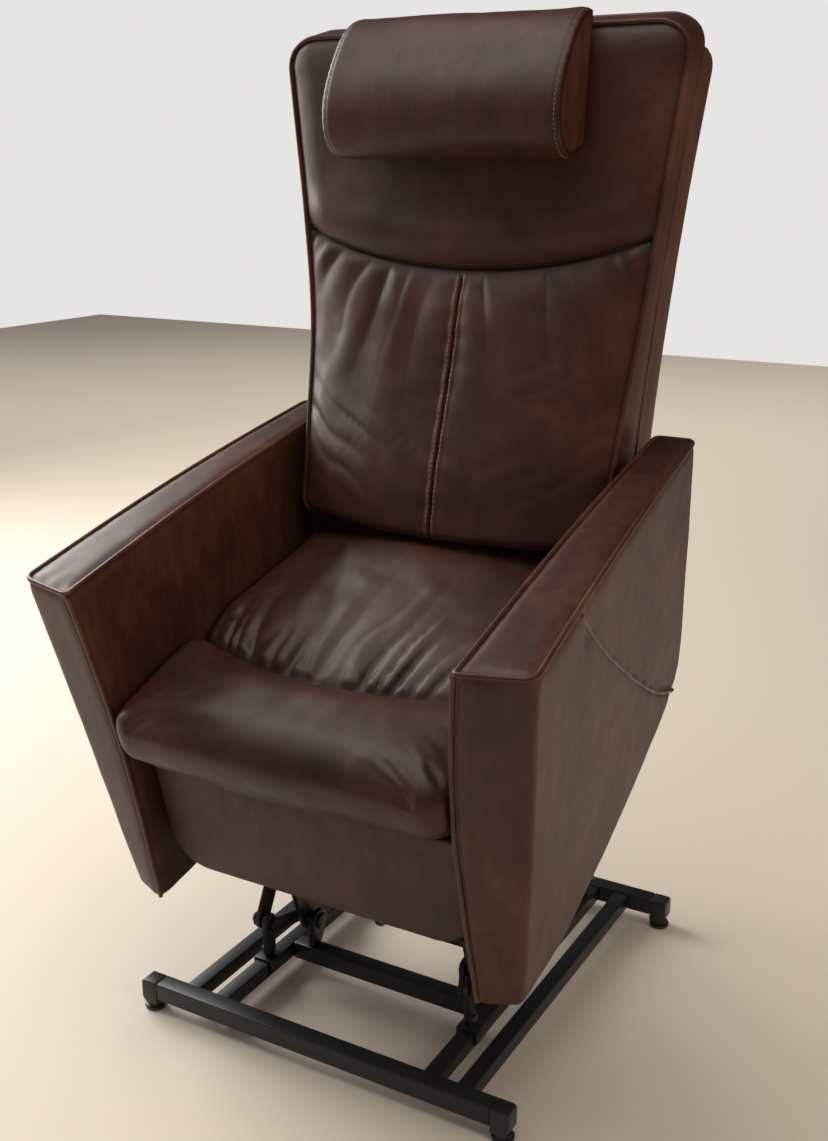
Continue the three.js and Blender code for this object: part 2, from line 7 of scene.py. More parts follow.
import bmesh
import bpy
import numpy as np
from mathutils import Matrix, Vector, noise
from mathutils.bvhtree import BVHTree

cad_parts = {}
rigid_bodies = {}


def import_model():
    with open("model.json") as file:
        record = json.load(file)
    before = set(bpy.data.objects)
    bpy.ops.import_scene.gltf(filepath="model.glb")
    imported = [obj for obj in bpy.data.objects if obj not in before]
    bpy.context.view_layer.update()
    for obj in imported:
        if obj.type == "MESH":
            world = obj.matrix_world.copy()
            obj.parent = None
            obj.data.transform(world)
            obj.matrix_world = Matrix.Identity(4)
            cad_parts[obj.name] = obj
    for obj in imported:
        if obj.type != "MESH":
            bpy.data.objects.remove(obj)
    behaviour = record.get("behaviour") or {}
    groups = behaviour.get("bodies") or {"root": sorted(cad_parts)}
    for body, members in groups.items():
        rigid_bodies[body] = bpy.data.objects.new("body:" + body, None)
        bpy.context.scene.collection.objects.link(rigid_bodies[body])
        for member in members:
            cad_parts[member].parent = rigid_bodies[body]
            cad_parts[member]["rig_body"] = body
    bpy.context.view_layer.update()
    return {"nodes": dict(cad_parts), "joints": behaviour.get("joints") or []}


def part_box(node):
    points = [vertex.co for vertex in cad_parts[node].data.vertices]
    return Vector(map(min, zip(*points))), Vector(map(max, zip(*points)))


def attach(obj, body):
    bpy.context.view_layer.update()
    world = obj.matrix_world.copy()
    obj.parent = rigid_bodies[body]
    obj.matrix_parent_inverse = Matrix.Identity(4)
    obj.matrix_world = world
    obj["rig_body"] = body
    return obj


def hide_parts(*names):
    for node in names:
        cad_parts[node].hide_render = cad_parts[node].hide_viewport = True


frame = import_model()

# ---- frame ----
TILT = math.radians(13.5)  # how far the raised seat leans forward
BASE_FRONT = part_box("base_front_bar")[0].y * 1000  # the base's front face, in mm
COS, SIN = math.cos(TILT), math.sin(TILT)


def to_row(p):
    """Seat-space points in mm, an (n, 3) array, as row-frame points in metres."""
    p = np.atleast_2d(np.asarray(p, float))
    y = p[:, 1] * COS - p[:, 2] * SIN + BASE_FRONT
    z = p[:, 1] * SIN + p[:, 2] * COS
    return np.column_stack([p[:, 0], y, z]) / 1000


def to_seat(p):
    """The seat-space point in mm of a row-frame point in metres."""
    y, z = p[1] * 1000 - BASE_FRONT, p[2] * 1000
    return np.array([p[0] * 1000, y * COS + z * SIN, z * COS - y * SIN])


def lerp(a, b, t):
    return a + (b - a) * t


def smooth(t):
    t = np.clip(t, 0, 1)
    return t * t * (3 - 2 * t)


def bump(t):
    """1 at t = 0, falling smoothly to 0 at |t| = 1."""
    return 1 - smooth(np.abs(t))


def bell(t, width):
    """1 at t = 0, falling to 1/e at |t| = width on a bell curve."""
    return np.exp(-((t / width) ** 2))


def fade(t, reach):
    """1 at t = 0, falling to 1/e at |t| = reach with a sharp peak."""
    return np.exp(-np.abs(t) / reach)


def curve(xs, ys):
    """A smooth function through a few points (a monotone cubic)."""
    xs, ys = np.array(xs, float), np.array(ys, float)
    slope = np.gradient(ys, xs)

    def value(x):
        x = np.clip(x, xs[0], xs[-1])
        k = np.clip(np.searchsorted(xs, x, side="right") - 1, 0, len(xs) - 2)
        h = xs[k + 1] - xs[k]
        t = (x - xs[k]) / h
        a, b = 2 * t**3 - 3 * t**2 + 1, t**3 - 2 * t**2 + t
        return a * ys[k] + b * h * slope[k] + (1 - a) * ys[k + 1] + (t**3 - t**2) * h * slope[k + 1]

    return value


def ripple(points, scale, seed=0.0):
    """Smooth noise from -1 to 1 at seat-space points, one feature per scale mm."""
    shift = Vector((seed * 17.3, seed * 5.1, seed * 9.7))
    return np.array([noise.noise(Vector(p) / scale + shift) for p in points])


# ---- materials ----
class Nodes:
    """A new material, with short calls for building its node tree."""

    def __init__(self, name):
        self.material = bpy.data.materials.new(name)
        self.material.use_nodes = True
        self.tree = self.material.node_tree
        self.tree.nodes.clear()
        self.out = self.add("ShaderNodeOutputMaterial")
        self.shader = self.add("ShaderNodeBsdfPrincipled")
        self.link(self.shader.outputs[0], self.out.inputs[0])

    def add(self, kind, **values):
        node = self.tree.nodes.new(kind)
        for key, value in values.items():
            setattr(node, key, value)
        return node

    def link(self, a, b):
        self.tree.links.new(a, b)

    def value(self, socket, value):
        self.shader.inputs[socket].default_value = value

    def drive(self, socket, source):
        self.link(source, self.shader.inputs[socket])

    def coords(self, scale=(1, 1, 1)):
        mapping = self.add("ShaderNodeMapping")
        mapping.inputs["Scale"].default_value = scale
        self.link(self.add("ShaderNodeTexCoord").outputs["Object"], mapping.inputs["Vector"])
        return mapping.outputs[0]

    def noise(self, vector, scale, detail=3.0, rough=0.5, distortion=0.0):
        node = self.add("ShaderNodeTexNoise")
        node.inputs["Scale"].default_value = scale
        node.inputs["Detail"].default_value = detail
        node.inputs["Roughness"].default_value = rough
        node.inputs["Distortion"].default_value = distortion
        self.link(vector, node.inputs["Vector"])
        return node.outputs["Fac"]

    def ramp(self, factor, stops):
        node = self.add("ShaderNodeValToRGB")
        elements = node.color_ramp.elements
        while len(elements) < len(stops):
            elements.new(0.5)
        for element, (place, colour) in zip(elements, stops):
            element.position = place
            element.color = (*colour, 1)
        self.link(factor, node.inputs[0])
        return node.outputs[0]

    def feed(self, sockets, values):
        """Gives each socket a number, or links it to another node's output."""
        for socket, value in zip(sockets, values):
            if hasattr(value, "is_output"):
                self.link(value, socket)
            else:
                socket.default_value = value

    def mix(self, factor, a, b):
        node = self.add("ShaderNodeMix", data_type="RGBA")
        self.feed((node.inputs[0], node.inputs[6], node.inputs[7]), (factor, a, b))
        return node.outputs[2]

    def math(self, operation, a, b):
        node = self.add("ShaderNodeMath", operation=operation)
        self.feed(node.inputs, (a, b))
        return node.outputs[0]

    def remap(self, factor, low, high):
        node = self.add("ShaderNodeMapRange")
        node.inputs["To Min"].default_value = low
        node.inputs["To Max"].default_value = high
        self.link(factor, node.inputs["Value"])
        return node.outputs[0]

    def bump(self, height, strength, distance, normal=None):
        node = self.add("ShaderNodeBump")
        node.inputs["Strength"].default_value = strength
        node.inputs["Distance"].default_value = distance
        self.link(height, node.inputs["Height"])
        if normal is not None:
            self.link(normal, node.inputs["Normal"])
        return node.outputs[0]


def leather(name, dark, mid, light, streak=(1, 1, 1), rough=(0.40, 0.54)):
    """Aniline leather: cloudy colour, faint pull-up streaks, a pebbled grain, lighter rubbed wear, and
    painted shade in seams and fold valleys, read from a per-vertex attribute.
    """
    n = Nodes(name)
    plain = n.coords()
    clouds = n.noise(plain, 5.5, 4, 0.6, 0.4)
    streaks = n.noise(n.coords(streak), 14, 5, 0.65, 0.5)
    blend = n.math("ADD", n.math("MULTIPLY", clouds, 0.55), n.math("MULTIPLY", streaks, 0.45))
    tone = n.ramp(blend, [(0.34, dark), (0.52, mid), (0.7, light)])
    worn = n.add("ShaderNodeAttribute", attribute_name="wear")
    rubbed = n.mix(worn.outputs["Fac"], tone, (*[min(1, c * 1.9) for c in light], 1))
    # Painted shade: a per-vertex attribute mixes in a much darker brown along seams and in fold valleys,
    # where shadow falls.
    crease_shade = n.add("ShaderNodeAttribute", attribute_name="crease_shade")
    colour = n.mix(crease_shade.outputs["Fac"], rubbed, (*[c * 0.35 for c in dark], 1))
    n.drive("Base Color", colour)
    pebble = n.add("ShaderNodeTexVoronoi", feature="DISTANCE_TO_EDGE")
    pebble.inputs["Scale"].default_value = 620
    warp = n.add("ShaderNodeVectorMath", operation="ADD")
    wobble = n.add("ShaderNodeTexNoise")
    wobble.inputs["Scale"].default_value = 160
    n.link(plain, wobble.inputs["Vector"])
    small = n.add("ShaderNodeVectorMath", operation="SCALE")
    small.inputs["Scale"].default_value = 0.002
    n.link(wobble.outputs["Color"], small.inputs[0])
    n.link(plain, warp.inputs[0])
    n.link(small.outputs[0], warp.inputs[1])
    n.link(warp.outputs[0], pebble.inputs["Vector"])
    grain = n.bump(n.remap(pebble.outputs["Distance"], 0, 1), 0.16, 0.0006)
    soft_dents = n.bump(n.noise(plain, 70, 3, 0.55, 0.8), 0.10, 0.0018, grain)
    n.drive("Normal", soft_dents)
    polish = n.noise(plain, 26, 4, 0.6)
    n.drive("Roughness", n.remap(polish, *rough))
    n.value("Specular IOR Level", 0.36)
    n.value("Coat Weight", 0.04)
    n.value("Coat Roughness", 0.28)
    return n.material


def painted_steel():
    n = Nodes("satin_black_steel")
    c = n.coords()
    speck = n.noise(c, 900, 2)
    cloud = n.noise(c, 9, 4)
    n.drive("Base Color", n.ramp(cloud, [(0.3, (0.006, 0.006, 0.007)), (0.75, (0.016, 0.016, 0.018))]))
    n.drive("Roughness", n.remap(cloud, 0.34, 0.52))
    n.drive("Normal", n.bump(speck, 0.12, 0.0004))
    n.value("Metallic", 0.15)
    n.value("Specular IOR Level", 0.55)
    return n.material


def bare_metal(name, low, high, rough):
    n = Nodes(name)
    c = n.coords((1, 9, 1))
    grain = n.noise(c, 260, 4, 0.7)
    n.drive("Base Color", n.ramp(grain, [(0.3, low), (0.7, high)]))
    n.drive("Roughness", n.remap(grain, rough, rough + 0.18))
    n.drive("Normal", n.bump(grain, 0.08, 0.0003))
    n.value("Metallic", 0.9)
    return n.material


def moulded(name, low, high, rough, grain_scale=700):
    n = Nodes(name)
    c = n.coords()
    n.drive("Base Color", n.ramp(n.noise(c, 14, 3), [(0.3, low), (0.75, high)]))
    texture = n.noise(c, grain_scale, 2)
    n.drive("Roughness", n.remap(texture, rough, rough + 0.15))
    n.drive("Normal", n.bump(texture, 0.15, 0.0004))
    return n.material


def plywood():
    n = Nodes("plywood")
    figure = n.noise(n.coords((2, 30, 30)), 6, 6, 0.6, 1.2)
    n.drive("Base Color", n.ramp(figure, [(0.3, (0.36, 0.24, 0.13)), (0.7, (0.62, 0.46, 0.28))]))
    n.drive("Roughness", n.remap(figure, 0.55, 0.75))
    n.drive("Normal", n.bump(figure, 0.2, 0.0006))
    return n.material


DARK, MID, LIGHT = (0.029, 0.0090, 0.0049), (0.053, 0.0176, 0.0097), (0.088, 0.0335, 0.0195)
HIDE = leather("leather", DARK, MID, LIGHT)
HIDE_PANEL = leather("leather_panels", DARK, MID, LIGHT, streak=(3.5, 3.5, 0.7))
PIPE = leather("leather_piping", (0.036, 0.0115, 0.0068), (0.068, 0.0225, 0.0132),
               (0.125, 0.048, 0.029), rough=(0.3, 0.42))
THREAD = moulded("thread", (0.05, 0.022, 0.015), (0.10, 0.05, 0.035), 0.6, 2500)
LIGHT_THREAD = moulded("light_thread", (0.20, 0.11, 0.07), (0.32, 0.19, 0.13), 0.55, 2500)
STEEL = painted_steel()
ZINC = bare_metal("zinc_plate", (0.42, 0.43, 0.45), (0.6, 0.61, 0.63), 0.28)
BOLT = bare_metal("dark_bolt", (0.10, 0.10, 0.105), (0.2, 0.2, 0.21), 0.34)
RUBBER = moulded("rubber", (0.008, 0.008, 0.009), (0.016, 0.016, 0.017), 0.28)
PLASTIC = moulded("actuator_plastic", (0.012, 0.012, 0.013), (0.025, 0.025, 0.027), 0.42)
PLY = plywood()


# ---- mesh helpers ----
def make(name, points, faces, material, sharp=40):
    """A mesh piece from row-frame points in metres."""
    mesh = bpy.data.meshes.new(name)
    mesh.from_pydata([tuple(p) for p in points], [], faces)
    mesh.materials.append(material)
    piece = bpy.data.objects.new(name, mesh)
    bpy.context.scene.collection.objects.link(piece)
    mesh.shade_smooth()
    if sharp:
        mesh.set_sharp_from_angle(angle=math.radians(sharp))
    return piece


def trim(piece, body):
    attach(piece, body)


def tag(piece, name, values):
    """A per-vertex number that the leather material reads."""
    attribute = piece.data.attributes.new(name, "FLOAT", "POINT")
    attribute.data.foreach_set("value", np.clip(values, 0, 1).astype(np.float32))


def box_grid(us, vs, ws):
    """The surface of a box as quads. Gives (n, 3) points of its grid lines' values and the faces."""
    axes = [np.asarray(us, float), np.asarray(vs, float), np.asarray(ws, float)]
    size = [len(a) - 1 for a in axes]
    index, points, faces = {}, [], []

    def corner(i, j, k):
        key = (i, j, k)
        if key not in index:
            index[key] = len(points)
            points.append((axes[0][i], axes[1][j], axes[2][k]))
        return index[key]

    for fixed in range(3):
        a, b = (fixed + 1) % 3, (fixed + 2) % 3
        for end in (0, size[fixed]):
            for i in range(size[a]):
                for j in range(size[b]):
                    quad = []
                    for di, dj in ((0, 0), (1, 0), (1, 1), (0, 1)):
                        at = [0, 0, 0]
                        at[fixed], at[a], at[b] = end, i + di, j + dj
                        quad.append(corner(*at))
                    faces.append(quad if end else quad[::-1])
    return np.array(points), faces


def eased(n, power):
    """n + 1 values from -1 to 1, closer together near the ends as power goes to 1."""
    t = np.linspace(-1, 1, n + 1)
    return lerp(t, np.sin(t * math.pi / 2), power)


def normals_of(points, faces):
    """Vertex normals of a quad mesh."""
    f = np.array(faces)
    d1, d2 = points[f[:, 2]] - points[f[:, 0]], points[f[:, 3]] - points[f[:, 1]]
    face_normal = np.cross(d1, d2)
    out = np.zeros_like(points)
    for k in range(4):
        np.add.at(out, f[:, k], face_normal)
    return out / np.maximum(np.linalg.norm(out, axis=1, keepdims=True), 1e-12)


def flipped(faces, s):
    """The faces as they are where s is 1, and turned inside out where it is -1."""
    return faces if s > 0 else [f[::-1] for f in faces]


def ring_faces(rings, sides, first=0, closed=False):
    """Quads between rings of points, and a cap on each end where the rings aren't closed."""
    faces = []
    for i in range(rings if closed else rings - 1):
        a = first + i * sides
        b = first + (i + 1) % rings * sides
        for k in range(sides):
            m = (k + 1) % sides
            faces.append((a + k, a + m, b + m, b + k))
    if not closed:
        faces.append(tuple(first + k for k in range(sides))[::-1])
        faces.append(tuple(first + (rings - 1) * sides + k for k in range(sides)))
    return faces


def piping(name, path, radius, body, closed=False, sides=10):
    """A leather cord of a round section along seat-space points."""
    path = np.asarray(path, float)
    if closed:
        tangent = np.roll(path, -1, 0) - np.roll(path, 1, 0)
    else:
        tangent = np.gradient(path, axis=0)
    tangent /= np.linalg.norm(tangent, axis=1, keepdims=True)
    side = np.cross(tangent[0], [0.13, 0.31, 0.94])
    side /= np.linalg.norm(side)
    points = []
    angles = np.arange(sides) * 2 * math.pi / sides
    for p, t in zip(path, tangent):
        side = side - t * side.dot(t)
        side /= np.linalg.norm(side)
        up = np.cross(t, side)
        points.extend(p + radius * (math.cos(a) * side + math.sin(a) * up) for a in angles)
    faces = ring_faces(len(path), sides, closed=closed)
    trim(make(name, to_row(points), faces, PIPE, sharp=60), body)


def lay_on(piece, path, inward):
    """Drops seat-space points onto a finished piece, along a seat-space direction."""
    tree = BVHTree.FromPolygons([v.co.copy() for v in piece.data.vertices],
                                [p.vertices[:] for p in piece.data.polygons])
    inward = np.array(inward, float)
    start = to_row(path - inward * 40)
    ray = Vector(to_row([inward])[0] - to_row([[0, 0, 0]])[0]).normalized()
    laid = []
    for point, first in zip(path, start):
        hit = tree.ray_cast(Vector(first), ray, 0.09)[0]
        laid.append(to_seat(hit) if hit else point)
    return np.array(laid)


def ripple_free(values, rounds=12):
    """A row of numbers with its small waves smoothed away and its ends kept."""
    values = np.array(values, float)
    for _ in range(rounds):
        values[1:-1] = 0.25 * values[:-2] + 0.5 * values[1:-1] + 0.25 * values[2:]
    return values


def resample(path, step, closed=False):
    """Points every step mm along a polyline."""
    path = np.asarray(path, float)
    if closed:
        path = np.vstack([path, path[:1]])
    d = np.r_[0, np.cumsum(np.linalg.norm(np.diff(path, axis=0), axis=1))]
    count = max(4, int(round(d[-1] / step)))
    s = np.linspace(0, d[-1], count + 1)
    if closed:
        s = s[:-1]
    return np.column_stack([np.interp(s, d, path[:, i]) for i in range(3)])


def stitches(name, path, outward, body, material=THREAD, length=4.2, gap=2.0, radius=0.45):
    """A row of sewn stitches along seat-space points: short threads dipping into the hide at each end."""
    path = resample(path, 1.0)
    d = np.arange(len(path))
    pitch = length + gap
    points, faces = [], []
    lift = np.array([-0.5, 0.35, 0.5, 0.35, -0.5])
    sides, rings = 6, len(lift)
    for start in np.arange(1, d[-1] - length, pitch):
        at = np.linspace(start, start + length, rings)
        line = np.column_stack([np.interp(at, d, path[:, i]) for i in range(3)])
        out = np.array([outward(p) if callable(outward) else outward for p in line], float)
        line += out * lift[:, None]
        tangent = line[-1] - line[0]
        tangent /= np.linalg.norm(tangent)
        side = np.cross(tangent, out[2])
        side /= np.linalg.norm(side)
        up = np.cross(side, tangent)
        first = len(points)
        for p in line:
            for k in range(sides):
                a = k * 2 * math.pi / sides
                points.append(p + radius * (math.cos(a) * side + math.sin(a) * up))
        faces.extend(flipped(ring_faces(rings, sides, first), -1))
    trim(make(name, to_row(points), faces, material, sharp=0), body)


def points_of(mesh):
    """A mesh's points in metres as an (n, 3) array."""
    points = np.zeros(len(mesh.vertices) * 3)
    mesh.vertices.foreach_get("co", points)
    return points.reshape(-1, 3)


def shift(piece, move):
    """Moves a piece's points by an (n, 3) array in metres."""
    piece.data.vertices.foreach_set("co", (points_of(piece.data) + move).ravel())
    piece.data.update()


def settle(piece, pin, slack, pressure, shrink, bending=0.6, frames=20, cap=9.0):
    """Lets a cover settle as cloth over its filling, and keeps the shape it comes to. pin holds a point
    where it is (1) or frees it (0); slack gives the places where the hide was cut too full."""
    scene = bpy.context.scene
    for name, weights in (("pin", pin), ("slack", slack)):
        group = piece.vertex_groups.new(name=name)
        levels = np.round(np.clip(weights, 0, 1) * 20).astype(int)
        for level in np.unique(levels):
            group.add(np.nonzero(levels == level)[0].tolist(), level / 20, "REPLACE")
    cloth = piece.modifiers.new("settle", "CLOTH")
    s = cloth.settings
    s.quality, s.mass, s.air_damping = 6, 0.3, 3.0
    s.tension_stiffness = s.compression_stiffness = 20
    s.shear_stiffness, s.bending_stiffness = 8, bending
    s.vertex_group_mass, s.vertex_group_shrink = "pin", "slack"
    s.shrink_min, s.shrink_max = 0.0, shrink
    s.use_pressure, s.uniform_pressure_force = True, pressure
    s.effector_weights.gravity = 0
    cloth.collision_settings.use_collision = False
    cloth.point_cache.frame_start, cloth.point_cache.frame_end = 1, frames
    for frame_number in range(1, frames + 1):
        scene.frame_set(frame_number)
    settled = piece.evaluated_get(bpy.context.evaluated_depsgraph_get()).data
    move = points_of(settled) - points_of(piece.data)
    far = np.linalg.norm(move, axis=1, keepdims=True) * 1000
    move *= cap * np.tanh(far / cap) / np.maximum(far, 1e-6)
    piece.modifiers.remove(cloth)
    piece.vertex_groups.clear()
    shift(piece, move)
    scene.frame_set(1)


def press(piece, push):
    """Moves a piece's points out along their normals by push mm."""
    normals = np.zeros(len(push) * 3, np.float32)
    piece.data.vertex_normals.foreach_get("vector", normals)
    shift(piece, normals.reshape(-1, 3) * (push / 1000)[:, None])


def gathers(phase):
    """A run of gathered folds: round ridges with narrow valleys between them, from -1 to 1."""
    return 2 * np.abs(np.sin(phase / 2)) ** 0.75 - 1


def finish_padded(piece, body, node):
    trim(piece, body)
    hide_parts(node)


# ---- seat ----
SEAT_HALF = 253.0
SEAT_REAR = 566.0
SEAT_UNDER = 443.5
SEAM_FRONT = 197  # where the cross seam comes furthest forward
TOP_POINTS = 96  # grid points from the seat's rear to the seam
ROLL_POINTS = 85  # from there round the front roll
UNDER_POINTS = 10  # and back along the underside
FAR = 1000


def seam_y(x):
    """The cross seam behind the front roll, in plan."""
    return SEAM_FRONT + 55 * np.abs(x / 255) ** 2.2


crown_line = curve([SEAM_FRONT, 300, 400, 492, 540, 566], [534, 556, 577, 589, 587, 578])


def seat_surface(x, y):
    """Height of the seat's top behind the seam."""
    u = np.abs(x / SEAT_HALF)
    side = lerp(532, 549, smooth((y - seam_y(x)) / 70))
    centre = crown_line(np.maximum(y, SEAM_FRONT))
    return lerp(side, centre, np.clip(1 - u**2.3, 0, 1))


def build_seat():
    """The seat's top and front roll as a grid of points, columns across and rows from the rear, with the
    columns' places from -1 to 1 and the direction out of the profile at each point."""
    us = eased(120, 0.4)
    steps = [0, 0.18, 0.36, 0.55, 0.70, 0.85, 1.0]
    t = np.linspace(0, 1, ROLL_POINTS + 1)[1:]
    rows = []
    for u in us:
        x, edge = u * SEAT_HALF, np.abs(u)
        seam = seam_y(x)
        ys = np.linspace(SEAT_REAR, seam, TOP_POINTS)
        top = np.column_stack([ys, seat_surface(x, ys)])
        # The roll: a padded nose from the seam over to the legrest's top.
        high = lerp(549, 548, edge)
        nose = curve(steps, [seam, lerp(seam, 60, 0.3), lerp(seam, 60, 0.68), 46, 27, 30, 47])
        rise = curve(steps, [top[-1, 1], high - 1, high, 541, 517, 478, lerp(446, 462, edge**3)])
        rows.append(np.vstack([top, np.column_stack([nose(t), rise(t)])]))
    rows = np.array(rows)
    surface = np.zeros((*rows.shape[:2], 3))
    surface[..., 0] = (us * SEAT_HALF)[:, None]
    surface[..., 1:] = rows
    # Rounded side edges: the outer columns drop and tuck in.
    order = np.arange(rows.shape[1])[None, :]
    on_roll = smooth((order - TOP_POINTS) / 40)
    reach = lerp(0.06, 0.13, on_roll)
    edge = np.clip((np.abs(us)[:, None] - (1 - reach)) / reach, 0, 1)
    drop = lerp(14, 30, on_roll) * (1 - np.sqrt(np.maximum(0, 1 - edge**2)))
    d = np.gradient(rows, axis=1)
    out = np.stack([d[..., 1], -d[..., 0]], -1)
    out /= np.maximum(np.linalg.norm(out, axis=-1, keepdims=True), 1e-9)
    surface[..., 1:] -= out * drop[..., None]
    return us, surface, out


def seam_gaps(points):
    """Each grid point's place in its column, how far behind the cross seam it is if it is on the seat, and
    how far round the roll from the seam if it is there, in mm."""
    order = np.arange(points.shape[1])[None, :]
    behind = np.where(order < TOP_POINTS, points[..., 1] - seam_y(points[..., 0]), -FAR)
    front = np.where(order >= TOP_POINTS - 1, (order - TOP_POINTS + 1) * 3.0, FAR)
    return order, behind, front


def seat_details(surface):
    """What the cover's cut does (seam and roll), what wear does (folds), and the painted shade along the seam
    and in the folds' valleys.
    """
    x, y = surface[..., 0], surface[..., 1]
    order, behind, front = seam_gaps(surface)
    top = order < TOP_POINTS
    u = np.abs(x / SEAT_HALF)
    flat = surface.reshape(-1, 3)

    def field(scale, seed, stretch=(1, 1, 1)):
        return ripple(flat * stretch, scale, seed).reshape(x.shape)

    cut = -12 * fade(behind, 7) * top - 12 * fade(front, 6) * ~top
    cut += 5 * bell(front - 38, 30)
    # Gathers: folds that start at the seam, fan out behind it and fade on the seat.
    away = np.maximum(behind, 0)
    fan = x / (1 + 0.0020 * away) - 0.10 * away
    fanned = np.column_stack([fan.ravel(), away.ravel() * 0.45, 0 * fan.ravel()])
    warp = ripple(fanned, 62, 3).reshape(x.shape)
    phase = fan / 4.6 + 5.2 * warp
    vary = np.clip(0.75 + 1.3 * field(70, 4, (1, 0.35, 1)), 0.1, 1.35)
    length = 62 + 55 * np.clip(0.5 + 1.4 * field(80, 6, (1, 0.2, 1)), 0, 1)
    reach = np.exp(-((away / length) ** 1.6)) * smooth(away / 16) * top
    middle = np.clip(1.15 - u**3.5, 0, 1) * lerp(1.0, 0.62, smooth((x + 20) / 200))
    folds = 4.4 * gathers(phase) * vary * reach * middle
    # A few long soft folds carry on to the middle of the seat.
    longer = bell(away, 190) * smooth(away / 40) * top
    folds += 2.3 * np.sin(fan / 9.5 + 4.0 * warp + 0.8) * longer * middle
    # Small puckers on the roll, and the dents of use behind.
    folds += 1.1 * np.sin(x / 7.5 + 4 * warp) * fade(front, 20) * ~top
    folds += 1.3 * field(34, 9, (1, 0.5, 1)) * bell(front - 60, 50) * ~top
    sit = np.sin(y / 17 + 0.05 * x + 3.4 * field(95, 5))
    folds += 1.2 * sit * smooth((behind - 130) / 90) * top * np.clip(1 - u**2, 0, 1)
    folds += 2.0 * field(75, 1) + 0.7 * field(26, 2)
    # Painted shade: darker on both sides of the cross seam and in the gathers' valleys.
    dark = np.clip(fade(behind, 3.2) * top + fade(front, 3.2) * ~top, 0, 1)
    dark = np.maximum(dark, 0.45 * np.clip(-gathers(phase), 0, 1) * reach * middle * vary)
    return cut, folds, dark


def seat_piece():
    us, surface, out = build_seat()
    cut, folds, crease_shade = seat_details(surface)
    surface[..., 1:] += out * (cut + 0.3 * folds)[..., None]
    # Close the profile: underside and rear.
    last = surface[:, -1]
    under = []
    for t in np.arange(1, UNDER_POINTS + 1) / UNDER_POINTS:
        y = lerp(last[:, 1], SEAT_REAR, smooth(t) * 0.999)
        z = lerp(last[:, 2], SEAT_UNDER, min(1, t * 5))
        under.append(np.column_stack([last[:, 0], y, z]))
    rings = np.concatenate([surface, np.stack(under, axis=1)], axis=1)
    plain = np.zeros((len(us), UNDER_POINTS))
    piece = make("seat_pad", to_row(rings.reshape(-1, 3)), ring_faces(*rings.shape[:2]), HIDE, sharp=70)
    # The painted shade of the seam and the fold valleys goes on as a per-vertex attribute.
    tag(piece, "crease_shade", np.concatenate([crease_shade, plain], axis=1).ravel())
    order, behind, front = seam_gaps(rings)
    seam = np.minimum(np.where(order < TOP_POINTS, behind, FAR), front)
    side = (1 - np.abs(us))[:, None] * SEAT_HALF
    pin = np.maximum.reduce([1 - smooth(seam / 5), 1 - smooth(side / 12) + 0 * seam,
                             smooth((order - 150) / 25) + 0 * side, 1 - smooth(order / 6) + 0 * side])
    slack = np.where(order < TOP_POINTS, fade(np.maximum(behind - 15, 0), 60), 0.45 * fade(front, 30))
    settle(piece, pin.ravel(), slack.ravel(), pressure=3.0, shrink=-0.16)
    press(piece, np.concatenate([0.8 * folds, plain], axis=1).ravel())
    finish_padded(piece, "seat_frame", "seat_cushion")


seat_piece()


# ---- shapes shared by the rigid-backed padded blocks ----
def grid_lines(half, step, near=(0, 1.5, 3.5, 6, 9, 13, 18, 24, 31)):
    """Grid lines from -half to half, closer together near both ends."""
    near = [d for d in near if d < half * 0.8]
    inner = half - near[-1]
    middle = np.linspace(-inner, inner, max(2, round(2 * inner / step)) + 1)
    ends = [half - d for d in near[:-1]]
    return np.concatenate([[-e for e in ends], middle, ends[::-1]])


def with_seam(lines, at, near=(0, 1.2, 2.6, 4.4, 6.6, 9.2)):
    """Adds close grid lines each side of a seam at one value."""
    close = np.concatenate([[at + d, at - d] for d in near])
    far = lines[np.abs(lines - at) > near[-1] + 1.5]
    return np.unique(np.round(np.concatenate([far, close]), 3))


def rounded(p, a, b, half, radii):
    """Rounds the four edges of a centred block that run across axes a and b, with one radius for each
    of the corners (-,-), (+,-), (-,+) and (+,+). A radius of 0 leaves the edge as it is."""
    ha, hb = half[a], half[b]
    x, y = p[:, a], p[:, b]
    r = np.select([(x <= 0) & (y <= 0), (x > 0) & (y <= 0), (x <= 0) & (y > 0)], radii[:3], radii[3])
    cx, cy = np.clip(x, r - ha, ha - r), np.clip(y, r - hb, hb - r)
    dx, dy = x - cx, y - cy
    length = np.hypot(dx, dy)
    k = np.where(length > 1e-9, np.maximum(np.abs(dx), np.abs(dy)) / np.maximum(length, 1e-9), 1)
    p = p.copy()
    p[:, a], p[:, b] = cx + dx * k, cy + dy * k
    return p


def soften(block, half, edges, place):
    """A block's points with its edges rounded, put in place. Each of edges is two axes and four radii."""
    for a, b, radii in edges:
        block = rounded(block, a, b, half, radii)
    return place(block)


def edge_gap(p, a, ha, b, hb):
    """Distance from a block's surface points to the edge where axis a is ha and axis b is hb."""
    return np.hypot(p[:, a] - ha, p[:, b] - hb)


def puff(distance, reach, height):
    """The swell of a stuffed panel: nothing at its seam, full height from reach onwards."""
    return height * (1 - (1 - np.clip(distance / reach, 0, 1)) ** 2)


def outline_loop(half_a, half_b, radii):
    """A rounded rectangle's outline, with corners in the order of rounded()."""
    points = []
    for sa, sb, which, start in ((-1, -1, 0, 180), (1, -1, 1, 270), (1, 1, 3, 0), (-1, 1, 2, 90)):
        r = radii[which]
        for angle in np.radians(np.linspace(start, start + 90, 9)):
            x, z = sa * (half_a - r), sb * (half_b - r)
            points.append((x + r * math.cos(angle), 0, z + r * math.sin(angle)))
    return resample(points, 5, closed=True)[:, [0, 2]]


def mirror_x(points, s):
    out = np.array(points, float)
    out[:, 0] *= s
    return out


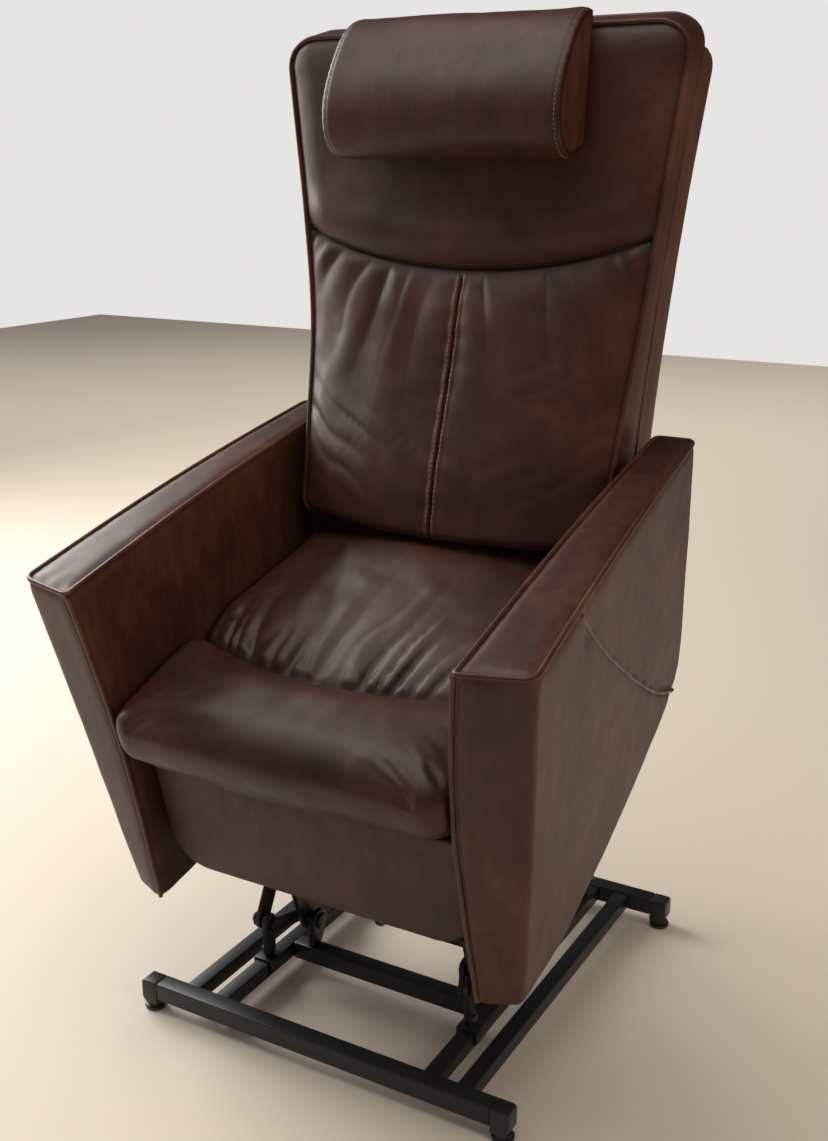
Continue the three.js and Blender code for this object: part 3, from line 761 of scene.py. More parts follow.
# ---- arms ----
ARM = np.array([45.0, 320.0, 256.0])  # half sizes of the block each arm is bent from
PLAN = (3, 14, 10, 14)  # corner radii in plan: inner front, outer front, inner rear, outer rear
sill = curve([58, 176, 408, 593, 652], [195, 191, 243, 308, 335])


def arm_outer(y, z):
    t = np.clip((z - 195) / 512, 0, 1)
    deep = np.clip((y - 58) / 643, 0, 1)
    return lerp(lerp(314, 375, t), lerp(310, 336, t), deep)


def arm_inner(y, z):
    deep = np.clip((y - 58) / 643, 0, 1)
    lower = 255.5 + 3.5 * np.clip((330 - z) / 130, 0, 1)
    upper = 255.5 + 27 * np.clip((z - 440) / 267, 0, 1) ** 1.6
    return np.where(z < 440, lower, upper - 7 * deep * np.clip((z - 560) / 147, 0, 1))


def arm_place(p):
    """The left arm's seat-space points from its block's."""
    u, v, t = [np.clip(p[:, k] / (2 * ARM[k]) + 0.5, -0.05, 1.05) for k in range(3)]
    rear = lerp(652, 701, np.sqrt(np.clip(t, 0, 1)))
    y = lerp(58, rear, v)
    z = lerp(sill(y), 707 + 8 * np.sin(math.pi * np.clip(v, 0, 1)), t)
    splay = lerp(-11, 9, u) * np.clip(1 - (y - 58) / 60, 0, 1)
    return np.column_stack([lerp(arm_inner(y, z), arm_outer(y, z), u), y + splay, z])


pocket = curve([256, 290, 333, 378, 471, 543, 625], [649, 611, 565, 521, 433, 371, 318])


def build_arm(side, s):
    wide, deep, high = ARM
    across = grid_lines(wide, 7, (0, 1.5, 3.5, 6, 10))
    block, faces = box_grid(across, grid_lines(deep, 6), grid_lines(high, 6))
    q = soften(block, ARM, ((0, 2, (9, 9, 3, 3)), (1, 2, (8, 12, 3, 8)), (0, 1, PLAN)), arm_place)
    n = normals_of(q, faces)
    top_outer = edge_gap(block, 0, wide, 2, high)
    top_inner = edge_gap(block, 0, -wide, 2, high)
    top_front = edge_gap(block, 1, -deep, 2, high)
    front_inner = edge_gap(block, 0, -wide, 1, -deep)
    seam = np.minimum.reduce([top_outer, top_inner, top_front, front_inner])
    push = puff(seam, 26, 4.2) - 2.2
    push -= 1.2 * bell(seam - 7, 2.2)
    along = np.where(top_front < np.minimum(top_outer, top_inner), q[:, 0], q[:, 1] + 0.4 * q[:, 2])
    wobble = ripple(q, 34, 3 + s)
    push += 0.55 * np.sin(along / 2.6 + 5 * wobble) * fade(seam, 9) * smooth(seam / 3)
    push += 1.3 * ripple(q, 95, 6 + s) * smooth(seam / 40) + 0.35 * ripple(q, 28, 7 + s)
    # Folds where the top panel is drawn round the front corners.
    corner = bell(top_front, 34) * (block[:, 2] > 250)
    push += 0.7 * corner * np.sin(q[:, 0] / 4.5 + 3 * wobble)
    # The outer face's upper rear panel lies a little lower than the front one, along the curved seam.
    outer_face = smooth((block[:, 0] - 30) / 10) * (np.abs(block[:, 0] - wide) < 0.01)
    gap = (q[:, 2] - pocket(q[:, 1])) * 0.76
    inside = outer_face * (q[:, 1] > 225)
    push -= inside * 2.4 * smooth((gap + 1) / 5)
    push += inside * (puff(np.abs(gap), 22, 2.0) - 2.0) * (gap < 0)
    push += inside * 0.8 * np.sin((q[:, 1] + q[:, 2]) / 9 + 4 * wobble) * fade(gap, 12) * (gap > 0)
    q = q + n * push[:, None]
    q = mirror_x(q, s)
    piece = make("arm_pad_" + side, to_row(q), flipped(faces, s), HIDE_PANEL, sharp=48)
    # Painted shade: darker along the piped seams and the pocket seam.
    tag(piece, "crease_shade", np.maximum(0.9 * fade(seam, 2.5), 1.0 * inside * fade(gap + 2, 3.5)))
    tag(piece, "wear", 0.30 * bell(seam - 8, 6) * (0.6 + 0.8 * wobble))
    finish_padded(piece, "seat_frame", "arm_" + side)

    loop = outline_loop(43.5, 318.5, PLAN)
    ring = np.column_stack([loop[:, 0], loop[:, 1], np.full(len(loop), 254.6)])
    piping("arm_piping_top_" + side, mirror_x(arm_place(ring), s), 3.6, "seat_frame", closed=True)
    down = np.column_stack([np.full(90, -43.8), np.full(90, -318.6), np.linspace(251, -252, 90)])
    piping("arm_piping_front_" + side, mirror_x(arm_place(down), s), 3.4, "seat_frame")

    ys = np.linspace(213, 631, 110)
    zs = np.where(ys < 256, 649 + (256 - ys) * 1.2, pocket(ys))
    path = resample(np.column_stack([arm_outer(ys, zs), ys, zs]), 3)
    path = lay_on(piece, mirror_x(path, s), (-s, 0, 0))
    path[:, 0] = ripple_free(path[:, 0]) - 1.1 * s
    piping("arm_piping_side_" + side, path, 2.7, "seat_frame")

    # Top stitching on the front face, beside the inner piping.
    ts = np.linspace(244, -244, 60)
    row = arm_place(np.column_stack([np.full(60, -36.5), np.full(60, -320.0), ts])) + [0, -0.3, 0]
    stitches("arm_stitch_" + side, mirror_x(row, s), (0, -1, 0), "seat_frame")


for side, s in (("left", 1), ("right", -1)):
    build_arm(side, s)


# ---- backrest ----
def back_half(z):
    return 251.5 + 61.5 * np.clip((z - 600) / 615, 0, 1.05) ** 1.45


edge_y = curve([600, 730, 870, 1014, 1140, 1262], [535, 599, 668, 714, 749, 784])
belly = curve([600, 660, 700, 764, 830, 894, 951, 1010, 1080, 1180, 1262],
              [44, 48, 48, 41, 37, 31, 20, 22, 17, 11, 5])


def shell_front(z):
    return 857 - 0.277 * (1036 - z) - 72


BACK = np.array([280.0, 40.0, 331.0])  # half sizes of the block the back cushion is bent from
BACK_MIDDLE = 931  # seat-space height of the block's middle
BACK_CORNERS = (24, 24, 45, 45)
SMILE_Z = 951  # height of the curved cross seam at the middle
TWIN = 5.2  # how far the twin stitching is from the centre seam


def back_place(p):
    """The back cushion's seat-space points from its block's, before its seams and folds."""
    wide, deep, high = BACK
    z = lerp(600, 1262, p[:, 2] / (2 * high) + 0.5) - 6 * bump((p[:, 2] + high) / 60)
    u = p[:, 0] / wide
    v = np.clip(p[:, 1] / (2 * deep) + 0.5, 0, 1)
    face = edge_y(z) - belly(z) * np.clip(1 - np.abs(u) ** 2.3, 0, 1)
    return np.column_stack([u * back_half(z), lerp(face, shell_front(z) - 10, v), z])


def smile(x):
    """Height of the curved cross seam."""
    return SMILE_Z + 45 * np.abs(x / BACK[0]) ** 2.2


def back_edge(block):
    """How far the block's points are from its side and top edges."""
    return np.minimum(BACK[0] - np.abs(block[:, 0]), BACK[2] - block[:, 2])


def back_details(q, block):
    """How far the cushion's face stands out of the plain shape, and the painted shade in its seams."""
    x, z = q[:, 0], q[:, 2]
    low = z < smile(x)
    d = z - smile(x)
    edge = back_edge(block)
    corner = np.hypot(np.maximum(0, np.abs(x) - (back_half(z) - 45)), np.maximum(0, z - 1217))
    edge = np.where((np.abs(x) > back_half(z) - 45) & (z > 1217), np.maximum(0, 45 - corner), edge)
    push = puff(edge, 42, 9)
    push -= 1.5 * bell(edge - 6, 3)
    # The cross seam: a deep groove, with the upper panel rolling over it.
    push -= 13 * fade(d, np.where(d > 0, 9, 15)) * smooth(edge / 12)
    push += 6 * bump((d - 42) / 42) * smooth(edge / 50)
    # The centre seam of the lower panel.
    mid = np.abs(x)
    push -= low * 5.0 * fade(mid, 9) * smooth(-d / 25)
    push += low * (1.9 * bell(mid - TWIN, 2.8) - 0.8 * bell(mid, 1.1)) * smooth(-d / 16)
    # Painted shade: darker in the cross seam, the centre seam and along the edges.
    dark = np.maximum.reduce([fade(d, 3.0), low * 0.75 * fade(mid, 0.9), 0.8 * fade(edge, 3)])
    return push, dark


def back_folds(q, block):
    """The folds and dents of use in the cushion's face, and the painted shade in their valleys."""
    x, z = q[:, 0], q[:, 2]
    u = np.abs(x / back_half(z))
    low = z < smile(x)
    mid = np.abs(x)
    edge = back_edge(block)
    drop = np.maximum(smile(x) - z, 0)
    whole = np.column_stack([x, 0 * x, z])
    # Folds that fan out downwards from the cross seam, steeper towards the middle.
    fan = x / (1 + 0.0030 * drop)
    warp = ripple(np.column_stack([fan, np.full_like(x, 7.0), z * 0.5]), 70, 11)
    phase = fan / 6.2 + 4.6 * warp
    vary = np.clip(0.6 + 1.6 * ripple(np.column_stack([fan, 0 * x, z * 0.3]), 62, 12), 0.05, 1.5)
    envelope = np.exp(-((drop / 105) ** 1.5)) * smooth(drop / 18) * smooth(edge / 30)
    weight = np.where(x < 0, 1.0, 0.85) * lerp(0.85, 1, np.clip(u * 1.6, 0, 1))
    push = low * 3.4 * gathers(phase) * vary * envelope * weight
    longer = bell(drop, 200) * smooth(drop / 40) * smooth(edge / 40)
    push += low * 2.2 * np.sin(fan / 12 + 4 * warp + 1) * longer * weight
    # Folds that rise from the middle, above the seat, out to the arms.
    rise = z - 0.46 * mid
    warp_low = ripple(whole, 80, 13)
    zone = bump((z - 735) / 130) * smooth((u - 0.22) / 0.4) * smooth(edge / 22)
    vary_low = np.clip(0.6 + 1.5 * ripple(whole * (0.4, 1, 1), 55, 14), 0, 1.4)
    push += low * 2.2 * gathers(rise / 5.6 + 2.3 * warp_low) * zone * vary_low
    # Small puckers along both sides of the centre seam.
    push += low * 0.9 * np.sin(z / 5.5 + 4 * warp) * fade(mid, 16) * smooth(mid / 5)
    push += 3.0 * ripple(whole, 150, 15) * smooth(edge / 60) * np.where(low, 1, 0.35)
    push += 0.8 * ripple(whole, 36, 16) * smooth(edge / 20) * np.where(low, 1, 0.5)
    # Painted shade in the valleys of the gathers.
    dark = low * 0.35 * np.clip(-gathers(phase), 0, 1) * envelope * vary
    return push, dark


def front_normal(q):
    slope = (edge_y(q[:, 2] + 4) - edge_y(q[:, 2] - 4)) / 8
    n = np.column_stack([0 * slope, -np.ones_like(slope), slope])
    return n / np.linalg.norm(n, axis=1, keepdims=True)


def back_surface(x, z):
    """Points on the finished front face at block x and seat-space height z."""
    x, z = np.broadcast_arrays(np.asarray(x, float), np.asarray(z, float))
    block = np.column_stack([x, np.full(x.shape, -BACK[1]), z - BACK_MIDDLE])
    q = back_place(block)
    push, _ = back_details(q, block)
    return q + front_normal(q) * (push + 0.25 * back_folds(q, block)[0])[:, None]


def build_backrest():
    across = with_seam(grid_lines(BACK[0], 4.2), 0, (0, 0.9, 2, 3.4, 4.9, 6.4, 7.9, 9.6, 12))
    bend = SMILE_Z - BACK_MIDDLE
    up = with_seam(grid_lines(BACK[2], 4.2), bend)
    block, faces = box_grid(across, grid_lines(BACK[1], 9, (0, 2, 5, 9)), up)
    # Bend the rows so that one of them runs along the cross seam.
    block[:, 2] += (smile(block[:, 0]) - SMILE_Z) * bump((block[:, 2] - bend) / 170)
    q = soften(block, BACK, ((0, 2, BACK_CORNERS), (1, 2, (20, 8, 0, 7)), (0, 1, (0, 0, 7, 7))), back_place)
    push, dark = back_details(q, block)
    front = np.abs(block[:, 1] + BACK[1]) < 0.01
    folds, valleys = back_folds(q, block)
    folds, dark = folds * front, np.maximum(dark, valleys)
    q = q + front_normal(q) * (push * front + 0.25 * folds)[:, None]
    # The side walls swell a little between their two seams.
    wall = np.clip(1 - (block[:, 1] / BACK[1]) ** 2, 0, 1)
    q = q + normals_of(q, faces) * (2.5 * wall * (1 - front))[:, None]
    piece = make("back_pad", to_row(q), faces, HIDE, sharp=60)
    # Painted shade in the seams and fold valleys, on the front face only.
    tag(piece, "crease_shade", dark * front)
    ridge = bell(np.abs(q[:, 0]) - TWIN, 2.4) * (q[:, 2] < smile(q[:, 0]) - 8)
    tag(piece, "wear", 0.7 * ridge * front)
    edge = back_edge(block)
    d = q[:, 2] - smile(q[:, 0])
    low = d < 0
    at_seams = np.maximum(1 - smooth(np.abs(d) / 5), low * (1 - smooth((np.abs(q[:, 0]) - 9) / 9)))
    at_ends = np.maximum(1 - smooth(edge / 10), 1 - smooth((q[:, 2] - 612) / 25))
    hold = np.maximum.reduce([at_seams, at_ends, 0.9 * smooth(d / 25)])
    pin = np.where(front, hold, 1)
    slack = low * np.maximum(np.exp(d / 70), bump((q[:, 2] - 720) / 90) * smooth(np.abs(q[:, 0]) / 200) * 0.6)
    settle(piece, pin, slack * front, pressure=3.0, shrink=-0.13)
    press(piece, 0.8 * folds)
    finish_padded(piece, "backrest", "back_cushion")

    loop = outline_loop(279.5, 330.5, BACK_CORNERS)
    for name, y, radius in (("front", -40.5, 3.9), ("rear", 33, 3.2)):
        ring = np.column_stack([loop[:, 0], np.full(len(loop), y), loop[:, 1]])
        path = back_place(ring)
        if name == "front":
            path[:, 1] -= 0.8
        # It follows the lower corners and stops under the cushion, where the face curls back.
        curl = np.clip((-311 - ring[:, 2]) / 20, 0, 1)
        path[:, 1] += 20 * (1 - np.sqrt(1 - curl**2)) * (name == "front")
        gap = (np.abs(ring[:, 0]) < 225) & (ring[:, 2] < -325)
        start = np.argmax(np.roll(gap, 1) & ~gap)
        path = np.roll(path, -start, 0)[: np.count_nonzero(~gap)]
        piping("back_piping_" + name, path, radius, "backrest")
    # Twin top stitching each side of the centre seam.
    z = np.linspace(941, 622, 200)
    for k, x in enumerate((-TWIN, TWIN)):
        row = lay_on(piece, back_surface(np.full(200, x), z), (0, 0.9, -0.43))
        stitches(f"back_stitch_{k + 1}", row, (0, -0.9, 0.43), "backrest", LIGHT_THREAD, 5.0, 2.4, 0.6)
    # A stitched line just above the cross seam.
    x = np.linspace(-268, 268, 220)
    row = lay_on(piece, back_surface(x, smile(x) + 7.5), (0, 0.93, -0.36))
    stitches("back_stitch_cross", row, (0, -0.93, 0.36), "backrest")


build_backrest()

SHELL = np.array([280.0, 36.0, 379.0])  # half sizes of the block the shell is bent from
SHELL_CORNERS = (18, 18, 42, 42)


def shell_place(p):
    """The shell's seat-space points from its block's."""
    wide, deep, high = SHELL
    t = p[:, 2] / (2 * high) + 0.5
    z = lerp(462, 1220, t)
    half = back_half(z) - lerp(5, 3, t)
    y = shell_front(z) + (p[:, 1] + deep)
    return np.column_stack([p[:, 0] / wide * half, y, z])


def build_shell():
    wide, deep, high = SHELL
    through = grid_lines(deep, 8, (0, 1.5, 3.5, 6, 10))
    block, faces = box_grid(grid_lines(wide, 9), through, grid_lines(high, 9))
    edges = ((0, 1, (7, 7, 15, 15)), (1, 2, (8, 12, 10, 20)), (0, 2, SHELL_CORNERS))
    q = soften(block, SHELL, edges, shell_place)
    n = normals_of(q, faces)
    rear = block[:, 1] > deep - 0.1
    inset = np.minimum(wide - np.abs(block[:, 0]), high - np.abs(block[:, 2]))
    push = rear * (5 * smooth((inset - 26) / 70) - 1.8 * bell(inset - 26, 3))
    wall = np.clip(1 - ((block[:, 1] - 4) / 30) ** 2, 0, 1) * ~rear
    push += 1.5 * wall
    push += 1.2 * ripple(q, 120, 21) * smooth(inset / 40) + 0.4 * ripple(q, 30, 22)
    q = q + n * push[:, None]
    piece = make("back_shell_cover", to_row(q), faces, HIDE_PANEL, sharp=50)
    # Painted shade along the recessed seam round the rear panel's inset.
    tag(piece, "crease_shade", rear * 0.8 * fade(inset - 26, 2))
    tag(piece, "wear", 0.15 * fade(inset, 10))
    finish_padded(piece, "backrest", "back_shell")
    loop = outline_loop(wide - 2.5, high - 2.5, SHELL_CORNERS)
    ring = np.column_stack([loop[:, 0], np.full(len(loop), -33.0), loop[:, 1]])
    piping("shell_piping", shell_place(ring), 3.0, "backrest", closed=True)
    loop = outline_loop(wide - 21, high - 21, (10, 10, 28, 28))
    ring = np.column_stack([loop[:, 0], np.full(len(loop), deep), loop[:, 1]])
    row = shell_place(ring) + [0, -0.2, 0]
    stitches("shell_stitch", np.vstack([row, row[:1]]), (0, 0.96, -0.27), "backrest")


build_shell()


# ---- head pillow ----
pillow_face = curve([1108, 1128, 1165, 1204, 1246, 1276, 1288], [664, 643, 635, 648, 684, 722, 748])


def pillow_profile():
    """The pillow's side view as a closed loop of (y, z), starting at the bottom rear."""
    z = np.linspace(1110, 1286, 60)
    front = np.column_stack([pillow_face(z), z])
    back_z = np.linspace(1286, 1110, 40)
    rear = np.column_stack([edge_y(np.minimum(back_z, 1262)) - belly(np.minimum(back_z, 1262)) - 9
                            + 0.29 * np.maximum(back_z - 1262, 0), back_z])
    rear[:, 0] = np.maximum(rear[:, 0], pillow_face(rear[:, 1]) + 16)
    loop = np.vstack([front, rear])
    loop = np.column_stack([0 * loop[:, 0], loop])
    loop = resample(loop, 4, closed=True)
    for _ in range(10):  # round the two corners
        loop = 0.25 * np.roll(loop, 1, 0) + 0.5 * loop + 0.25 * np.roll(loop, -1, 0)
    return resample(loop, 400 / 96, closed=True)[:, 1:]


def build_pillow():
    loop = pillow_profile()
    m = len(loop)
    tangent = np.roll(loop, -1, 0) - np.roll(loop, 1, 0)
    inward = np.column_stack([tangent[:, 1], -tangent[:, 0]])
    inward /= np.linalg.norm(inward, axis=1, keepdims=True)
    centre = loop.mean(axis=0)
    if np.sum(inward * (centre - loop)) < 0:
        inward = -inward
    half, edge = 183.0, 17  # half the width, and how much of it each rounded end takes
    rows, dark = [], []
    ends = half - edge * (1 - np.sin(np.linspace(0, 1, 9) * math.pi / 2))
    columns = np.concatenate([np.linspace(edge - half, half - edge, 64), ends])
    columns = np.unique(np.round(np.concatenate([columns, -columns]), 3))
    for x in columns:
        t = np.clip((abs(x) - half + edge) / edge, 0, 1)
        inset = 6.5 * (1 - math.sqrt(max(0, 1 - t * t)))
        inset += 1.0 * math.exp(-((abs(x) - 176) / 1.6) ** 2)
        line = loop + inward * inset
        rows.append(np.column_stack([np.full(m, x), line]))
        # Painted shade along the seams at the pillow's ends.
        dark.append(np.full(m, 0.9 * math.exp(-abs(abs(x) - half) / 2)))
    rows, dark = np.array(rows), np.array(dark)
    flat = rows.reshape(-1, 3)
    soft = smooth((180 - np.abs(flat[:, 0])) / 40)
    push = 1.6 * ripple(flat, 90, 31) * soft + 0.4 * ripple(flat, 30, 32) * soft
    puckers = 0.5 * np.sin(np.tile(np.arange(m) * 1.9, len(rows))) * fade(half - np.abs(flat[:, 0]), 12)
    out = -np.tile(inward, (len(rows), 1))
    flat[:, 1:] += out * (push + puckers)[:, None]
    rows = flat.reshape(rows.shape)
    caps = []
    for end, ring in ((-1, rows[0]), (1, rows[-1])):
        layers = []
        middle = ring[:, 1:].mean(axis=0)
        for t in np.linspace(0.08, 1, 12):
            scale = 1 - t * 0.985
            dome = 8.0 * math.sqrt(1 - (1 - t) ** 2 * 0.999) if t < 1 else 8.0
            dip = -1.2 * math.exp(-t * 16)
            layer = np.column_stack([np.full(m, end * (half + dome * min(1, t * 1.4) * 0.9 + dip)),
                                     middle + (ring[:, 1:] - middle) * scale])
            layers.append(layer)
        caps.append(np.array(layers))
    allrows = np.concatenate([caps[0][::-1], rows, caps[1]])
    darks = np.concatenate([np.zeros((12, m)), dark, np.zeros((12, m))])
    faces = flipped(ring_faces(len(allrows), m), -1)
    piece = make("pillow_pad", to_row(allrows.reshape(-1, 3)), faces, HIDE_PANEL, sharp=70)
    # The painted seam shade goes on as a per-vertex attribute, none on the end caps.
    tag(piece, "crease_shade", darks.ravel())
    finish_padded(piece, "head_pillow", "head_pillow")
    for side, s in (("left", 1), ("right", -1)):
        ring = np.column_stack([np.full(m, s * 176.0), loop + inward * 1.6])
        ring = np.vstack([ring, ring[:2]])

        def outward(at):
            k = np.argmin(np.sum((loop - at[1:]) ** 2, axis=1))
            return np.array([0, -inward[k, 0], -inward[k, 1]])

        stitches("pillow_stitch_" + side, ring, outward, "head_pillow", LIGHT_THREAD)


build_pillow()


# ---- legrest ----
LEG = np.array([245.0, 22.5, 91.5])  # half sizes of the legrest's pad


def leg_place(p):
    y = 104.5 + p[:, 1]
    u, w = p[:, 0] / LEG[0], p[:, 2] / LEG[2]
    front = np.clip(0.5 - p[:, 1] / (2 * LEG[1]), 0, 1)
    y = y - 5.0 * front * np.clip(1 - u**2, 0, 1) * np.clip(1 - w**2, 0, 1)
    return np.column_stack([p[:, 0], y, 334.5 + p[:, 2]])


def build_legrest():
    wide, deep, high = LEG
    block, faces = box_grid(grid_lines(wide, 6), grid_lines(deep, 6, (0, 1.5, 3.5, 6)), grid_lines(high, 5))
    edges = ((0, 1, (9, 9, 5, 5)), (1, 2, (9, 5, 6, 5)), (0, 2, (62, 62, 8, 8)))
    q = soften(block, LEG, edges, leg_place)
    n = normals_of(q, faces)
    inset = np.minimum(wide - np.abs(block[:, 0]), high - np.abs(block[:, 2]))
    front = block[:, 1] < 0.1 - deep
    push = front * (1.4 * ripple(q, 85, 41) * smooth(inset / 30)) + 0.3 * ripple(q, 25, 42)
    folds = np.sin(q[:, 0] / 8 + 5 * ripple(q, 50, 43))
    push += front * 0.6 * folds * fade(high - block[:, 2], 30)
    q = q + n * push[:, None]
    piece = make("legrest_pad", to_row(q), faces, HIDE_PANEL, sharp=60)
    finish_padded(piece, "legrest", "legrest_panel")


build_legrest()


# ---- steel, plastic and wood ----
def body_of(node):
    return frame["nodes"][node]["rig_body"]


def eased_copy(node, material, width, segments=2):
    """Stands a copy of a CAD node in its place, with its sharp edges eased by width mm."""
    mesh = frame["nodes"][node].data.copy()
    work = bmesh.new()
    work.from_mesh(mesh)
    bmesh.ops.remove_doubles(work, verts=work.verts, dist=1e-6)
    bmesh.ops.dissolve_limit(work, angle_limit=math.radians(1), verts=work.verts, edges=work.edges)
    edges = [e for e in work.edges if len(e.link_faces) == 2 and e.calc_face_angle(0) > math.radians(35)]
    bmesh.ops.bevel(work, geom=edges, offset=width / 1000, segments=segments, profile=0.5,
                    affect="EDGES", clamp_overlap=True)
    work.to_mesh(mesh)
    work.free()
    mesh.materials.clear()
    mesh.materials.append(material)
    mesh.shade_smooth()
    mesh.set_sharp_from_angle(angle=math.radians(32))
    piece = bpy.data.objects.new(node + "_eased", mesh)
    bpy.context.scene.collection.objects.link(piece)
    trim(piece, body_of(node))
    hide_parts(node)


def lathe(name, centre, profile, material, body, axis="z", sides=40, start=0, sharp=35):
    """A turned piece: profile is (radius, height) in mm, round an axis through centre in metres."""
    points = []
    turn = np.arange(sides) * 2 * math.pi / sides + math.radians(start)
    for r, h in profile:
        for a in turn:
            ring = (r * math.cos(a), r * math.sin(a), h)
            if axis == "x":
                ring = (h, r * math.cos(a), r * math.sin(a))
            elif axis == "-x":
                ring = (-h, r * math.cos(a), -r * math.sin(a))
            points.append([c + v / 1000 for c, v in zip(centre, ring)])
    piece = make(name, points, ring_faces(len(profile), sides), material, sharp=sharp)
    trim(piece, body)
    return piece


def centre_of(node):
    low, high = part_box(node)
    return (low + high) / 2


for node in ("base_front_bar", "base_rear_bar", "base_middle_bar"):
    eased_copy(node, STEEL, 2.2, segments=3)
for side in ("left", "right"):
    for kind in ("outer", "inner"):
        eased_copy(f"{kind}_side_rail_{side}", STEEL, 2.0, segments=3)
    for node in ("stand_post", "stand_brace", "lift_arm_lug", "rear_stop", "lift_arm", "front_link",
                 "mechanism_plate", "back_hinge_bracket", "back_hinge_plate", "legrest_bracket",
                 "legrest_strap"):
        eased_copy(f"{node}_{side}", STEEL, 0.8)
    for place in ("front", "rear"):
        eased_copy(f"end_block_{place}_{side}", RUBBER, 2.2, segments=3)
        node = f"glide_{place}_{side}"
        low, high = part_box(node)
        centre = centre_of(node)
        r, h = (high.x - low.x) * 500, (high.z - low.z) * 1000
        profile = [(r - 4, 0), (r - 1.6, 0.3), (r - 0.4, 1.6), (r, 3.4), (r, 5.6), (r - 0.9, 7),
                   (r - 3.2, 7.8), (r - 3.6, 8.6), (r - 3.4, h)]
        foot = lathe(node + "_foot", (centre.x, centre.y, low.z), profile, RUBBER, body_of(node))
        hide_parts(node)
for node in ("lift_cross_tube", "front_cross_rail", "rear_cross_rail", "lift_actuator_clevis",
             "back_actuator_clevis", "back_crank", "legrest_board"):
    eased_copy(node, STEEL, 0.8)
eased_copy("head_pillow_blade", ZINC, 0.5)
eased_copy("seat_base", PLY, 1.2)
for name in ("lift", "back"):
    eased_copy(f"{name}_actuator_body", PLASTIC, 1.5, segments=3)
    eased_copy(f"{name}_actuator_rod", ZINC, 0.6)


def bolt(name, place, toward, body, r, head):
    """A hexagon bolt head on its washer, seen along X; toward is 1 or -1, the way it faces."""
    axis = "x" if toward > 0 else "-x"
    washer = [(r + 3, 0), (r + 3.4, 0.3), (r + 3.4, 1.3), (r + 3, 1.6)]
    lathe(name + "_washer", place, washer, BOLT, body, axis)
    layers = [(r, 1.6), (r, 1.6 + head * 0.82), (r * 0.93, 1.6 + head), (r * 0.55, 1.6 + head * 1.05)]
    piece = lathe(name + "_head", place, layers, BOLT, body, axis, sides=6, start=12, sharp=25)
    bevel = piece.modifiers.new("bevel", "BEVEL")
    bevel.width, bevel.segments, bevel.angle_limit = 0.0006, 2, math.radians(25)


def outer_face(node):
    """How far out from the middle a node reaches along X."""
    return max(abs(v.x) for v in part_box(node))


joints = {j["name"]: j for j in frame["joints"]}
front, lift = [joints[name]["pos_m"] for name in ("front_link_swing", "lift_lower")]
LINK_LENGTH, LINK_LEAN = 0.22, math.radians(62)  # the front link's, from its lower pivot
link_top = (front[1] + LINK_LENGTH * math.cos(LINK_LEAN), front[2] + LINK_LENGTH * math.sin(LINK_LEAN))
for side, s in (("left", 1), ("right", -1)):
    stop_y = centre_of(f"rear_stop_{side}").y
    for name, x, y, z, body, r, head in (
            ("front_pivot", outer_face(f"stand_post_{side}"), front[1], front[2], "base", 9, 5),
            ("link_pivot", outer_face(f"mechanism_plate_{side}"), *link_top, "seat_frame", 7.5, 5),
            ("rear_stop", outer_face(f"rear_stop_{side}"), stop_y, 0.084, "base", 6, 5),
            ("lift_pivot", outer_face(f"lift_arm_{side}"), lift[1], lift[2], "lift_arms", 8, 3.5),
            ("post_foot", 0.179, front[1], 0.0625, "base", 7, 5)):
        bolt(f"{name}_bolt_{side}", (s * x, y, z), s, body, r, head)


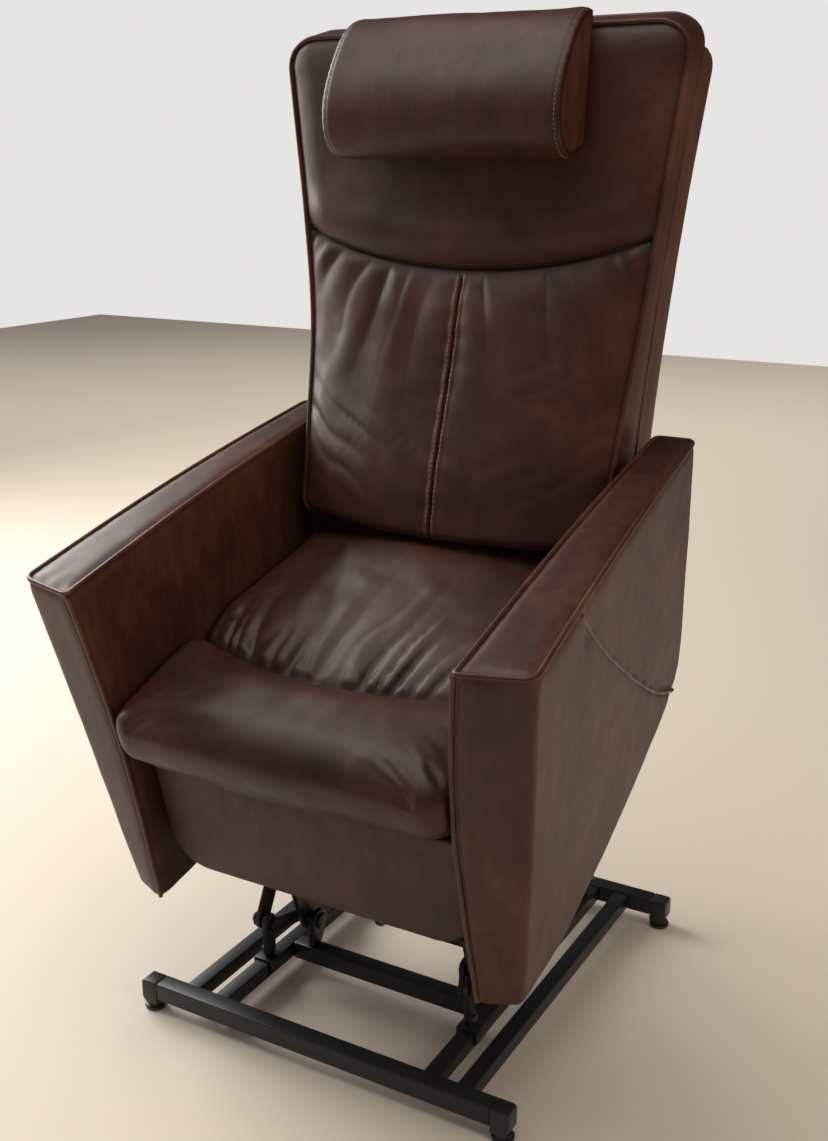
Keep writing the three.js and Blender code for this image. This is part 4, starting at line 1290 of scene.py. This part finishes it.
# ---- stage ----
def build_stage():
    bpy.ops.mesh.primitive_plane_add(size=14, location=(0, 0, 0))
    floor = bpy.context.object
    floor.name = "floor"
    n = Nodes("floor")
    n.value("Base Color", (0.60, 0.52, 0.435, 1))
    n.value("Roughness", 0.6)
    floor.data.materials.append(n.material)
    world = bpy.data.worlds.new("world")
    bpy.context.scene.world = world
    world.use_nodes = True
    tree = world.node_tree
    back = tree.nodes["Background"]
    back.inputs[0].default_value = (0.92, 0.91, 0.89, 1)
    sight = tree.nodes.new("ShaderNodeLightPath")
    level = tree.nodes.new("ShaderNodeMapRange")  # the wall is seen bright, and lights the room less
    level.inputs["To Min"].default_value = 0.06
    level.inputs["To Max"].default_value = 0.86
    seen = tree.nodes.new("ShaderNodeMath")
    seen.operation, seen.use_clamp = "MULTIPLY_ADD", True
    tree.links.new(sight.outputs["Is Diffuse Ray"], seen.inputs[0])
    seen.inputs[1].default_value = 0.31
    tree.links.new(sight.outputs["Is Camera Ray"], seen.inputs[2])
    tree.links.new(seen.outputs[0], level.inputs["Value"])
    tree.links.new(level.outputs[0], back.inputs[1])
    bpy.context.scene.view_settings.view_transform = "Standard"

    def area(name, place, aim, size, power, colour, shines=True):
        data = bpy.data.lights.new(name, "AREA")
        data.shape = "RECTANGLE"
        data.size, data.size_y = size
        data.energy = power
        data.color = colour
        light = bpy.data.objects.new(name, data)
        light.location = place
        light.rotation_euler = (Vector(aim) - Vector(place)).to_track_quat("-Z", "Y").to_euler()
        light.visible_glossy = shines
        bpy.context.scene.collection.objects.link(light)

    area("window", (-2.9, 0.35, 2.1), (0, 0, 0.75), (2.4, 2.4), 152, (1.0, 0.985, 0.97))
    area("ceiling", (-0.3, -0.5, 3.0), (0, 0.1, 0.6), (2.0, 1.6), 26, (1.0, 0.99, 0.97))
    area("front_fill", (-1.8, -2.4, 1.6), (0, 0, 0.7), (1.6, 1.6), 5, (1.0, 0.95, 0.88), shines=False)
    area("right_fill", (2.7, -0.2, 1.5), (0, 0, 0.7), (1.8, 2.0), 34, (1.0, 0.86, 0.72), shines=False)
    area("far_floor", (-2.2, 4.2, 2.8), (-2.4, 4.5, 0), (9.0, 4.0), 170, (1.0, 0.98, 0.95), shines=False)


def build_camera():
    data = bpy.data.cameras.new("camera")
    data.sensor_fit = "VERTICAL"
    data.sensor_height = 36
    data.lens = 1.17817 * data.sensor_height
    camera = bpy.data.objects.new("camera", data)
    camera.location = (0.9258, (-1327.3 + BASE_FRONT) / 1000, 1.2347)
    camera.rotation_euler = (math.radians(90 - 16.98), 0, math.radians(29.75))
    bpy.context.scene.collection.objects.link(camera)
    bpy.context.scene.camera = camera


build_stage()
build_camera()
